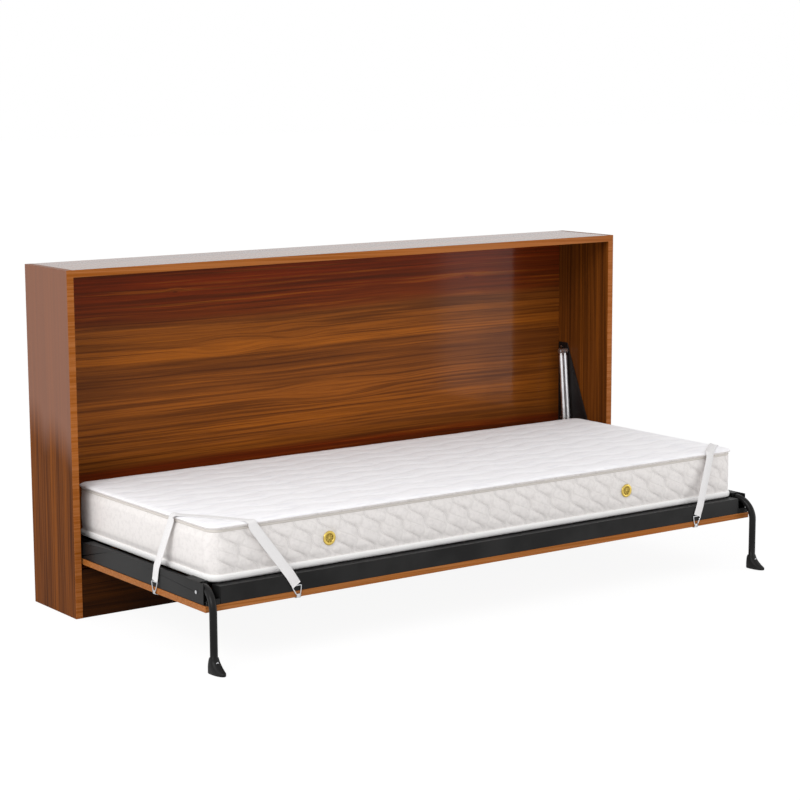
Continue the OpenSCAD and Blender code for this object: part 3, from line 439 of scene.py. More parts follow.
def add_piece(name, points, faces, materials, body, stands_for=(), uv=None, kinds=None):
    """Makes a smooth mesh piece that rides on a body. uv has one pair for each face corner in order, and
    kinds gives each face's place in materials."""
    mesh = bpy.data.meshes.new(name)
    mesh.from_pydata(np.asarray(points, float).tolist(), [], [list(map(int, f)) for f in faces])
    mesh.polygons.foreach_set("use_smooth", np.ones(len(mesh.polygons), bool))
    for material in materials if isinstance(materials, (list, tuple)) else [materials]:
        mesh.materials.append(material)
    if kinds is not None:
        mesh.polygons.foreach_set("material_index", np.asarray(kinds, np.int32))
    if uv is not None:
        layer = mesh.uv_layers.new(name="UVMap")
        layer.data.foreach_set("uv", np.asarray(uv, np.float32).ravel())
    mesh.update()
    obj = bpy.data.objects.new(name, mesh)
    bpy.context.scene.collection.objects.link(obj)
    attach(obj, body)
    if stands_for:
        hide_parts(*stands_for)
    return obj


def join(parts):
    """Joins (points, faces, uv) parts into one."""
    points, faces, uv, base = [], [], [], 0
    for p, f, t in parts:
        points.append(p)
        faces += [[int(i) + base for i in face] for face in f]
        uv.append(np.asarray(t, float).reshape(-1, 2))
        base += len(p)
    return np.concatenate(points), faces, np.concatenate(uv)


def unit(v):
    """Vectors at a length of 1."""
    return v / np.maximum(np.linalg.norm(v, axis=-1, keepdims=True), 1e-12)


def lengths(points):
    """Running length along a line of points, from 0 at the first."""
    return np.concatenate([[0], np.cumsum(np.linalg.norm(np.diff(points, axis=0), axis=1))])


def smooth_path(points, steps):
    """Catmull-Rom curve through points, with a number of steps between each two."""
    p = np.asarray(points, float)
    p = np.concatenate([[2 * p[0] - p[1]], p, [2 * p[-1] - p[-2]]])
    t = np.linspace(0, 1, steps, endpoint=False)[None, :, None]
    a, b, c, d = (p[i : len(p) - 3 + i, None, :] for i in range(4))
    curve = 0.5 * (2 * b + (c - a) * t + (2 * a - 5 * b + 4 * c - d) * t**2 + (3 * b - a - 3 * c + d) * t**3)
    return np.concatenate([curve.reshape(-1, p.shape[1]), p[-2:-1]])


def sweep(path, across, profile, closed=False):
    """Carries a closed profile along a path. Its first axis lies along across and its second is square to
    both. Open ends are capped. Returns points, faces and UVs in metres: along the path, and round the
    profile."""
    path, profile = np.asarray(path, float), np.asarray(profile, float)
    if closed:
        along = unit(np.roll(path, -1, 0) - np.roll(path, 1, 0))
    else:
        along = unit(np.gradient(path, axis=0))
    side = unit(across - (across * along).sum(-1, keepdims=True) * along)
    out = np.cross(along, side)
    points = path[:, None] + side[:, None] * profile[None, :, :1] + out[:, None] * profile[None, :, 1:]
    faces, corners = grid_faces(len(path), len(profile), closed, True)
    run, girth = (lengths(np.concatenate([line, line[:1]])) for line in (path, profile))
    uv = np.stack([run[corners[..., 0]], girth[corners[..., 1]]], -1).reshape(-1, 2)
    faces = faces.tolist()
    if not closed:
        m, n = len(profile), len(path)
        faces += [list(range(m))[::-1], list(range((n - 1) * m, n * m))]
        uv = np.concatenate([uv, np.zeros((2 * m, 2))])
    return points.reshape(-1, 3), faces, uv


def ring(radius, count, squash=1.0):
    """A circle or ellipse profile, turning so that a sweep's faces point outwards."""
    a = -np.linspace(0, math.tau, count, endpoint=False)
    return np.stack([radius * np.cos(a), squash * radius * np.sin(a)], -1)


def turned(profile, count, centre, axis):
    """Turns a profile of (radius, height) pairs round an axis through centre. Radii of 0 close to a pole."""
    profile = np.asarray(profile, float)
    axis = unit(np.asarray(axis, float))
    side = unit(np.cross(axis, [0.3, 0.5, 0.81]))
    other = np.cross(axis, side)
    a = np.linspace(0, math.tau, count, endpoint=False)[:, None, None]
    spokes = np.cos(a) * side + np.sin(a) * other
    points = np.asarray(centre) + profile[None, :, :1] * spokes + profile[None, :, 1:] * axis
    faces, corners = grid_faces(count, len(profile), True)
    uv = np.stack([corners[..., 0] / count, corners[..., 1] / len(profile)], -1).reshape(-1, 2)
    return points.reshape(-1, 3), faces[:, ::-1].tolist(), uv


# Mattress

# The top's seams: the length of a wave, and its sway as a share of the pitch
TOP_WAVE, TOP_SWAY = 0.190, 0.16
# The border's seams: how far they run across for each metre down, and their sway and the leaf lines' sway
SLANT, SWAY, LEAF_SWAY = 1.03, 0.0085, -0.0150
# Heights over the mattress bottom: the sewn border, its flat middle, the two tapes and the rim
QUILT_LOW, QUILT_HIGH = 0.0225, 0.1395
FLAT_LOW, FLAT_HIGH = 0.0255, 0.1365
LOWER_ROLL, GROOVE, RIM = 0.0122, 0.1445, 0.156
# Steps of the mesh along, across and up the mattress
GRID_X, GRID_Y, QUILT_ROWS = 320, 84, 21
# How far the seams pull in
SEAM_DEPTH = 0.0011
VENT_XS = (-0.606, 0.526)
VENT_Z = MAT_LO[2] + 0.0775
VENT_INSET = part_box("mattress_vents")[1].y - MAT_LO[1] + 0.0006

# Height over the mattress bottom, and how far the border lies inside the mattress there
BORDER = np.array([
    (0.0, 0.0120), (0.0020, 0.0070), (0.0060, 0.0042), (LOWER_ROLL, 0.0036), (0.0185, 0.0046),
    (QUILT_LOW, 0.0066), (FLAT_LOW, 0.0062), (FLAT_HIGH, 0.0062), (QUILT_HIGH, 0.0076), (GROOVE, 0.0082),
    (0.1480, 0.0074), (0.1500, 0.0046), (0.1525, 0.0018), (0.1545, 0.0005), (RIM, 0.0),
])


def top_wave(u, v, sin):
    """Counts the sewn waves of the top: whole numbers are seams, which sway along the mattress."""
    return v / bpy.context.scene.wall_bed_sizes.top_pitch + sin(u * (math.tau / TOP_WAVE)) * TOP_SWAY


def border_wave(u, v, sin, sway=SWAY):
    """Counts the sewn waves of the border: whole numbers are seams. Each seam slants down to the right like a
    stair."""
    drop = QUILT_HIGH - v
    stair = sin(drop * (2 * math.tau / (QUILT_HIGH - QUILT_LOW))) * sway
    return (u - drop * SLANT + stair) / bpy.context.scene.wall_bed_sizes.quilt_pitch


def mattress_top(x, y):
    """Points of the top over a grid: corners are rounded in plan, and the crown climbs from the rim in two
    soft steps."""
    half = (MAT_HI - MAT_LO)[:2] / 2
    centre = (MAT_HI + MAT_LO)[:2] / 2
    r = bpy.context.scene.wall_bed_sizes.corner_r
    u, v = (np.clip((np.abs(c) - (h - r)) / r, 0, 1) for c, h in ((x, half[0]), (y, half[1])))
    px = np.sign(x) * (np.minimum(np.abs(x), half[0] - r) + r * u * np.sqrt(1 - v * v / 2))
    py = np.sign(y) * (np.minimum(np.abs(y), half[1] - r) + r * v * np.sqrt(1 - u * u / 2))
    dx, dy = half[0] - np.abs(px), half[1] - np.abs(py)
    corner = (dx < r) & (dy < r)
    inset = np.where(corner, r - np.hypot(r - dx, r - dy), np.minimum(dx, dy)).clip(0)
    rise = 0.0055 * (1 - np.exp(-inset / 0.0055)) + 0.0025 * (1 - np.exp(-inset / 0.090))
    return np.stack([px + centre[0], py + centre[1], MAT_LO[2] + RIM + rise], -1), inset


def outline(grid):
    """The rim of a grid of points, counter-clockwise from its low corner."""
    return np.concatenate([grid[:-1, 0], grid[-1, :-1], grid[:0:-1, -1], grid[0, :0:-1]])


def segment_distance(points, a, b):
    """Distance in plan of points from the line between a and b."""
    way = np.subtract(b, a)
    along = np.clip(((points[..., :2] - a) @ way) / (way @ way), 0, 1)
    return np.linalg.norm(points[..., :2] - a - along[..., None] * way, axis=-1)


def swell(points, faces, pinned, frames=5):
    """Cloth under pressure, held at the pinned points: returns how far each point moves as it swells."""
    mesh = bpy.data.meshes.new("swell")
    mesh.from_pydata(points.tolist(), [], [list(map(int, f)) for f in faces])
    obj = bpy.data.objects.new("swell", mesh)
    scene = bpy.context.scene
    scene.collection.objects.link(obj)
    group = obj.vertex_groups.new(name="seams")
    group.add(np.flatnonzero(pinned).tolist(), 1.0, "REPLACE")
    cloth = obj.modifiers.new("cloth", "CLOTH")
    cloth.settings.quality = 2
    cloth.settings.mass = 0.25
    cloth.settings.tension_stiffness = cloth.settings.compression_stiffness = 12
    cloth.settings.shear_stiffness = 4
    cloth.settings.bending_stiffness = 0.4
    cloth.settings.use_pressure = True
    cloth.settings.uniform_pressure_force = 110.0
    cloth.settings.vertex_group_mass = "seams"
    cloth.settings.effector_weights.gravity = 0
    cloth.collision_settings.use_collision = False
    cloth.point_cache.frame_start, cloth.point_cache.frame_end = 1, frames
    for step in range(1, frames + 1):
        scene.frame_set(step)
    done = obj.evaluated_get(bpy.context.evaluated_depsgraph_get()).data
    moved = np.empty(len(points) * 3)
    done.vertices.foreach_get("co", moved)
    scene.frame_set(1)
    bpy.data.objects.remove(obj)
    bpy.data.meshes.remove(mesh)
    return moved.reshape(-1, 3) - points


def evenly(values, ends, rounds=6):
    """Averages each value of a grid with its neighbours, a number of times. ends says how its first axis
    ends."""
    for _ in range(rounds):
        wide = np.pad(values, ((1, 1), (0, 0)), mode=ends)
        values = (wide[:-2] + 2 * values + wide[2:]) / 4
        wide = np.pad(values, ((0, 0), (1, 1)), mode="edge")
        values = (wide[:, :-2] + 2 * values + wide[:, 2:]) / 4
    return values


def rises(distance, width):
    """0 on a line, rising to 1 over a width."""
    return 1 - np.exp(-((distance / width) ** 2))


class WALLBED_OT_mattress(bpy.types.Operator):
    """Makes the mattress: a sewn cover that swells between its seams, and its two tapes"""

    bl_idname = "wallbed.mattress"
    bl_label = "Mattress"

    def execute(self, context):
        sizes, colours = context.scene.wall_bed_sizes, context.scene.wall_bed_colours
        half = (MAT_HI - MAT_LO)[:2] / 2
        lines = np.linspace(-half[0], half[0], GRID_X + 1), np.linspace(-half[1], half[1], GRID_Y + 1)
        top, inset = mattress_top(*np.meshgrid(*lines, indexing="ij"))
        rim = outline(top)
        count, top_count = len(rim), inset.size
        ahead, behind = np.roll(rim, -1, 0), np.roll(rim, 1, 0)
        tangent = unit((ahead - behind)[:, :2])
        normal = np.stack([tangent[:, 1], -tangent[:, 0]], -1)
        run = lengths(np.concatenate([rim, rim[:1]])) + rim[0, 0]
        edge = BORDER[:, 0]
        v = np.concatenate([
            edge[edge > FLAT_HIGH][-2::-1], np.linspace(FLAT_HIGH, FLAT_LOW, QUILT_ROWS),
            edge[edge < FLAT_LOW][::-1],
        ])
        deep = np.tile(np.interp(v, edge, BORDER[:, 1]), (count, 1))
        across = np.tile(run[:-1, None], (1, len(v)))
        near = np.min([np.hypot(rim[:, None, 0] - x, MAT_LO[2] + v - VENT_Z) for x in VENT_XS], 0)
        near = np.where((normal[:, 1] < -0.9)[:, None], near, 1.0)
        flat = rises(np.maximum(near - sizes.vent_r, 0), 0.012)
        deep = VENT_INSET + (deep - VENT_INSET) * flat
        wall = np.empty((count, len(v), 3))
        wall[..., :2] = rim[:, None, :2] - normal[:, None] * deep[..., None]
        wall[..., 2] = MAT_LO[2] + v
        points = np.concatenate([top.reshape(-1, 3), wall.reshape(-1, 3)])

        rim_index = outline(np.arange(top_count).reshape(inset.shape))
        wall_index = top_count + np.arange(wall.size // 3).reshape(count, -1)
        strip = np.concatenate([rim_index[:, None], wall_index], 1)
        top_faces, top_corners = grid_faces(*inset.shape)
        side_faces, side_corners = grid_faces(*strip.shape, True)
        side_faces, side_corners = strip.ravel()[side_faces][:, ::-1], side_corners[:, ::-1]
        faces = top_faces.tolist() + side_faces.tolist() + [strip[::-1, -1].tolist()]
        levels = np.append(RIM, v)
        top_uv = top[top_corners[..., 0], top_corners[..., 1], :2]
        side_uv = np.stack([run[side_corners[..., 0]], levels[side_corners[..., 1]]], -1)
        uv = np.concatenate([top_uv.reshape(-1, 2), side_uv.reshape(-1, 2), np.zeros((count, 2))])

        wave = top_wave(top[..., 0], top[..., 1], np.sin)
        top_seam = np.abs(wave - np.round(wave)) * sizes.top_pitch
        wave = border_wave(across, v[None], np.sin)
        side_seam = np.abs(wave - np.round(wave)) * sizes.quilt_pitch
        side_seam[np.abs(normal[:, 0]) > 0.3] = sizes.quilt_pitch / 2
        quilted = np.minimum(v - QUILT_LOW, QUILT_HIGH - v).clip(0)
        free_side = rises(side_seam, 0.011) * rises(quilted, 0.010) * flat
        free_top = rises(top_seam, 0.012) * rises(inset, 0.016)
        for side, sign in SIDES.items():
            _, top_y, top_x, _ = STRAP_PLACES[side]
            gap = segment_distance(top, (sign * MAT_HI[0], top_y), (sign * top_x, MAT_LO[1]))
            free_top *= rises(np.maximum(gap - sizes.strap_w / 2, 0), 0.012)
        free = np.concatenate([free_top.ravel(), free_side.ravel()])
        cap = np.repeat([sizes.top_cap, sizes.quilt_cap], [top_count, free_side.size])
        out = np.zeros_like(points)
        out[:top_count, 2] = 1.0
        out[top_count:, :2] = np.repeat(normal, len(v), axis=0)
        push = (swell(points, faces, free < 0.12) * out).sum(-1).clip(0)
        grids = push[:top_count].reshape(inset.shape), push[top_count:].reshape(count, -1)
        evened = evenly(grids[0], "edge"), evenly(grids[1], "wrap")
        usual = [np.median(g[f > 0.5]) for g, f in zip(evened, (free_top, free_side))]
        push = cap * np.tanh(np.concatenate([(g / u).ravel() for g, u in zip(evened, usual)]))
        seam = np.concatenate([(1 - rises(top_seam, 0.005)).ravel(), (1 - rises(side_seam, 0.005)).ravel()])
        held = np.concatenate([rises(inset, 0.016).ravel(), (rises(quilted, 0.004) * flat).ravel()])
        points += out * (push * free - SEAM_DEPTH * seam * held)[:, None]

        kinds = np.repeat([0, 1], [len(top_faces), len(side_faces) + 1])
        cover = add_piece(
            "mattress_cover", points, faces, [top_ticking("top_ticking"), border_ticking("border_ticking")],
            "bed", ["mattress"], uv, kinds,
        )

        outward = np.concatenate([normal, np.zeros((count, 1))], 1)
        white = ribbed_tape("edge_tape", colours.tape, TAPE_RIB)
        beige = ribbed_tape("groove_tape", colours.groove, TAPE_RIB)
        for name, tape, height, inside, thick, squash in (
            ("mattress_lower_tape", white, LOWER_ROLL, 0.0052, 0.0050, 1.9),
            ("mattress_groove_tape", beige, GROOVE, 0.0082, 0.0024, 1.6),
        ):
            path = rim - outward * inside
            path[:, 2] = MAT_LO[2] + height
            p, f, t = sweep(path, outward, ring(thick, 16, squash), True)
            add_piece(name, p, f, tape, "bed", uv=t)
        return {"FINISHED"}


# Vents


class WALLBED_OT_vents(bpy.types.Operator):
    """Makes the two brass vents in the front border: a rolled flange around a dished, pierced disc"""

    bl_idname = "wallbed.vents"
    bl_label = "Mattress vents"

    def execute(self, context):
        r = context.scene.wall_bed_sizes.vent_r
        brass = plated("polished_brass", context.scene.wall_bed_colours.brass, 0.26, 0.42)
        dark = plated("vent_gauze", blend(context.scene.wall_bed_colours.brass, (0, 0, 0), 0.45), 0.4, 0.55)
        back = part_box("mattress_vents")[1].y
        flange = [
            (r * 0.5, 0), (r * 0.97, 0), (r, 0.0008), (r * 0.985, 0.0022), (r * 0.9, 0.0036),
            (r * 0.78, 0.0039), (r * 0.68, 0.0034), (r * 0.63, 0.0022), (r * 0.6, 0.0014), (r * 0.5, 0),
        ]
        hub = [(0, 0.0024), (r * 0.10, 0.0023), (r * 0.16, 0.0018), (r * 0.17, 0.0008), (0, 0.0008)]
        gauze = [(0, 0.0011), (r * 0.3, 0.0012), (r * 0.61, 0.0016), (r * 0.61, 0.0004), (0, 0.0004)]
        for name, x in zip(("left_vent", "right_vent"), VENT_XS):
            centre = np.array([x, back, VENT_Z])
            parts, kinds = [], []
            for profile, count, kind in ((flange, 48, 0), (hub, 24, 0), (gauze, 48, 1)):
                parts.append(turned(profile, count, centre, (0, -1, 0)))
                kinds.append(np.full(len(parts[-1][1]), kind))
            for a in np.arange(0, math.tau, math.tau / 8):
                reach = np.array([[0.14], [0.40], [0.64]]) * r
                path = centre + reach * [math.cos(a), 0, math.sin(a)] + [0, -0.0015, 0]
                across = np.tile([-math.sin(a), 0, math.cos(a)], (3, 1))
                parts.append(sweep(path, across, ring(0.0007, 8, 1.0)))
                kinds.append(np.zeros(len(parts[-1][1])))
            p, f, t = join(parts)
            kinds = np.concatenate(kinds)
            add_piece(name, p, f, [brass, dark], "bed", ["mattress_vents"], t, kinds)
        return {"FINISHED"}


# Straps and hooks


def strap_stations(places):
    """Centres and outward directions of a strap on the right side: from its end hook straight up to the
    mattress edge, over the corner and straight down to its front hook."""
    hook_y, top_y, top_x, hook_x = places
    front, rail, low = RAIL_LO[1], RAIL_HI[2], STRAP_END_Z
    mx, my, high = MAT_HI[0], MAT_LO[1], MAT_LO[2] + RIM
    bend_y = hook_y + (top_y - hook_y) * (END_RAIL_TOP - low) / (high - low)
    bend_x = hook_x + (top_x - hook_x) * (rail - low) / (high - low)
    way = unit(np.array([top_x - mx, my - top_y]))
    near, far = np.array([mx, top_y]) + way * 0.012, np.array([top_x, my]) - way * 0.012
    mid = (near + far) / 2
    return np.array([
        (END_RAIL_X + 0.0034, hook_y, low, 1, 0, 0),
        (END_RAIL_X + 0.0026, bend_y, END_RAIL_TOP + 0.001, 1, 0, 0),
        (mx + 0.0050, top_y, high - 0.008, 1, 0, 0),
        (mx + 0.0030, top_y, high + 0.0045, 1, 0, 1),
        (*near, high + 0.0064, 0, 0, 1),
        (*mid, high + 0.0079, 0, 0, 1),
        (*far, high + 0.0064, 0, 0, 1),
        (top_x, my - 0.0030, high + 0.0045, 0, -1, 1),
        (top_x, my - 0.0050, high - 0.008, 0, -1, 0),
        (bend_x, front - 0.0024, rail + 0.001, 0, -1, 0),
        (hook_x, front - 0.0034, low, 0, -1, 0),
    ])


def rounded_path(stations, step=0.004, reach=2):
    """Points a step apart along the straight legs between stations, each averaged with its neighbours so that
    the corners round off. The columns after the third ride along."""
    run = lengths(stations[:, :3])
    at = np.linspace(0, run[-1], int(run[-1] / step) + 1)
    line = np.stack([np.interp(at, run, column) for column in stations.T], -1)
    line = np.concatenate([2 * line[:1] - line[reach:0:-1], line, 2 * line[-1:] - line[-2 : -reach - 2 : -1]])
    window = np.hanning(2 * reach + 3)[1:-1]
    return np.stack([np.convolve(column, window / window.sum(), "valid") for column in line.T], -1)


class WALLBED_OT_straps(bpy.types.Operator):
    """Makes the two corner straps: flat webbing carried over the mattress corner from hook to hook"""

    bl_idname = "wallbed.straps"
    bl_label = "Corner straps"

    def execute(self, context):
        sizes, colours = context.scene.wall_bed_sizes, context.scene.wall_bed_colours
        webbing = ribbed_tape("white_webbing", colours.webbing, WEBBING_RIB)
        w, t = sizes.strap_w / 2, sizes.strap_t / 2
        profile = [(-w, -t * 0.5), (-w, t * 0.5), (-w + t, t), (0, t * 1.05), (w - t, t), (w, t * 0.5),
                   (w, -t * 0.5), (w - t, -t), (0, -t), (-w + t, -t)]
        for side, sign in SIDES.items():
            stations = strap_stations(STRAP_PLACES[side]) * [sign, 1, 1, sign, 1, 1]
            line = rounded_path(stations)
            path, outward = line[:, :3], line[:, 3:]
            p, f, uv = sweep(path, np.cross(np.gradient(path, axis=0), outward), profile)
            add_piece(f"{side}_strap", p, f, webbing, "bed", [f"{side}_corner_strap"], uv)
        return {"FINISHED"}


# Share of the webbing's slant that its hooks take
HOOK_LEAN = 0.35


def hook_parts(wire, width, lean):
    """A bent wire hook in its own frame: x across, y outwards from the panel edge, z up from the panel's
    underside. The ring is a triangle that leans with the webbing, and its tongue is a flat clip that grips
    the panel's lower edge."""
    face, bar, low = 0.0024, 0.0345, 0.0065
    half, tip = width / 2, 0.005
    loop = [(0, bar), (half * 0.8, bar), (half, bar - 0.003), (tip + 0.002, low + 0.003), (tip - 0.002, low)]
    loop += [(0, low - 0.0004)] + [(-x, z) for x, z in loop[:0:-1]] + [(0, bar)]
    path = smooth_path([(x - lean * (bar - z), face, z) for x, z in loop], 5)[:-1]
    parts = [sweep(path, np.tile([0.0, 1.0, 0.0], (len(path), 1)), ring(wire / 2, 10), True)]
    foot = -lean * (bar - low)
    clip = smooth_path([(foot, face + 0.0019, 0.0105), (foot, face + 0.0019, 0.005), (foot, 0.0022, -0.0006),
                        (foot, -0.001, -0.0022), (foot, -0.008, -0.0022), (foot, -0.014, -0.0018)], 5)
    plate = [(-0.007, -0.0006), (-0.007, 0.0006), (0.007, 0.0006), (0.007, -0.0006)]
    parts.append(sweep(clip, np.tile([1.0, 0.0, 0.0], (len(clip), 1)), plate))
    return parts


class WALLBED_OT_hooks(bpy.types.Operator):
    """Makes the wire hooks at the strap ends"""

    bl_idname = "wallbed.hooks"
    bl_label = "Strap hooks"

    def execute(self, context):
        sizes, colours = context.scene.wall_bed_sizes, context.scene.wall_bed_colours
        zinc = plated("hook_zinc", colours.zinc, 0.22, 0.38)
        for side, sign in SIDES.items():
            hook_y, top_y, top_x, hook_x = STRAP_PLACES[side]
            rise = (MAT_LO[2] + RIM - STRAP_END_Z) / HOOK_LEAN
            end_turn = np.array([[0, sign, 0], [-sign, 0, 0], [0, 0, 1]])
            front_turn = np.array([[-1, 0, 0], [0, -1, 0], [0, 0, 1]])
            spots = [
                (end_turn, sign * (hook_y - top_y) / rise, (sign * PANEL_HI[0], hook_y, PANEL_LO[2])),
                (front_turn, -sign * (top_x - hook_x) / rise, (sign * hook_x, PANEL_LO[1], PANEL_LO[2])),
            ]
            parts = []
            for turn, lean, at in spots:
                made = hook_parts(sizes.hook_wire, 0.030, lean)
                parts += [(p @ turn.T + np.array(at), f, t) for p, f, t in made]
            p, f, t = join(parts)
            add_piece(f"{side}_hooks", p, f, zinc, "bed", [f"{side}_strap_hooks"], t)
        return {"FINISHED"}


# Legs

LEG_D, LEG_BEND = 0.022, 0.065


class WALLBED_OT_legs(bpy.types.Operator):
    """Makes the bent leg tubes and their moulded boots"""

    bl_idname = "wallbed.legs"
    bl_label = "Legs"

    def execute(self, context):
        colours = context.scene.wall_bed_colours
        steel = coated("leg_coat", colours.black, 1500.0, 0.0002, 0.24, 0.40)
        rubber = coated("boot_plastic", colours.plastic, 900.0, 0.0003, 0.34, 0.55)
        r, bend = LEG_D / 2, LEG_BEND
        for side, sign in SIDES.items():
            lo, hi = (np.array(c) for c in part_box(f"{side}_leg_tube"))
            boot_lo, boot_hi = (np.array(c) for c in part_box(f"{side}_leg_boot"))
            foot_x = (boot_lo[0] + boot_hi[0]) / 2
            arm_x = (lo[0] + r) if sign > 0 else (hi[0] - r)
            leg_y, arm_z = boot_hi[1] - (boot_hi[0] - boot_lo[0]) / 2, hi[2] - r
            a = np.linspace(0, math.pi / 2, 25)
            share = a / a[-1]
            arc = np.stack([
                arm_x + (foot_x - arm_x) * share * share * (3 - 2 * share),
                leg_y + bend - bend * np.sin(a), arm_z - bend + bend * np.cos(a),
            ], -1)
            arm = [[arm_x, hi[1], arm_z], [arm_x, hi[1] - 0.004, arm_z]]
            upright = [[foot_x, leg_y, 0.08], [foot_x, leg_y, lo[2]]]
            path = np.concatenate([arm, arc, upright])
            p, f, t = sweep(path, np.tile([1.0, 0.0, 0.0], (len(path), 1)), ring(r, 32))
            add_piece(f"{side}_leg", p, f, steel, f"{side}_leg", [f"{side}_leg_tube"], t)
            p, f, t = boot(foot_x, leg_y, boot_lo, boot_hi, r)
            add_piece(f"{side}_boot", p, f, rubber, f"{side}_leg", [f"{side}_leg_boot"], t)
        return {"FINISHED"}


def boot(x, leg_y, lo, hi, tube_r):
    """A boot lofted up the leg: each level is an oval whose heel follows the collar and whose front reaches
    out to the toe near the floor and sweeps back up a hollow instep to the tube."""
    h = hi[2] - lo[2]
    width, heel, toe = (hi[0] - lo[0]) / 2, hi[1] - leg_y, leg_y - lo[1]
    sole, mouth = [0, 0, 0.0008, 0.0025, 0.006, 0.0085], [h - 0.0008, h, h, h - 0.004]
    z = np.concatenate([sole, np.linspace(0.0105, h - 0.0025, 13), mouth])
    up = np.clip((z - 0.0085) / (h - 0.0085), 0, 1)
    slim = tube_r + 0.0016
    reach = slim + (toe - slim) * (1 - up) ** 1.9
    reach = np.where(z < 0.003, toe - 0.0016 + 0.0016 * np.minimum(z / 0.0025, 1), reach)
    side = width + (slim - width) * np.clip((z - 0.4 * h) / (0.6 * h), 0, 1) ** 1.3
    back = heel + (slim - heel) * np.clip((z - h + 0.010) / 0.010, 0, 1) ** 1.6
    pull = np.zeros_like(z)
    pull[:3] = 1.0, 0.0018 / width, 0.0006 / width
    pull[-3:] = 0.0004 / slim, 1 - (tube_r + 0.0002) / slim, 1 - (tube_r + 0.0002) / slim
    a = np.linspace(0, math.tau, 56, endpoint=False)[:, None]
    front = np.maximum(np.cos(a), 0)
    blunt = np.sign(np.cos(a)) * np.abs(np.cos(a)) ** 0.80
    long = np.clip((reach - slim) / (toe - slim), 0, 1)
    keep = 1 - pull[None]
    px = x + side[None] * np.sin(a) * (1 - 0.14 * long * front**2) * keep
    py = leg_y - np.where(np.cos(a) > 0, reach[None], back[None]) * blunt * keep
    points = np.stack([px, py, lo[2] + z[None] + 0 * a], -1)
    faces, corners = grid_faces(len(a), len(z), True)
    uv = np.stack([corners[..., 0] * 0.002, z[corners[..., 1]]], -1).reshape(-1, 2)
    return points.reshape(-1, 3), faces.tolist(), uv


# Finishes of the frame's own pieces


def finish(names, material):
    """Gives nodes of the frame a finish."""
    for name in names:
        slots = NODES[name].material_slots
        if not slots:
            NODES[name].data.materials.append(material)
        for slot in slots:
            slot.material = material


def both(*names):
    """Names of nodes that are on the left and on the right."""
    return [f"{side}_{name}" for side in SIDES for name in names]


def ease(names, width, segments=2, angle=40):
    """Rounds the sharp edges of nodes of the frame with a Weld and a Bevel, and keeps flat faces flat."""
    for name in names:
        obj = NODES[name]
        obj.data.polygons.foreach_set("use_smooth", np.ones(len(obj.data.polygons), bool))
        weld = obj.modifiers.new("weld", "WELD")
        weld.merge_threshold = 0.00002
        bevel = obj.modifiers.new("ease", "BEVEL")
        bevel.width, bevel.segments = width, segments
        bevel.limit_method, bevel.angle_limit = "ANGLE", math.radians(angle)
        even = obj.modifiers.new("even", "WEIGHTED_NORMAL")
        even.weight = 100


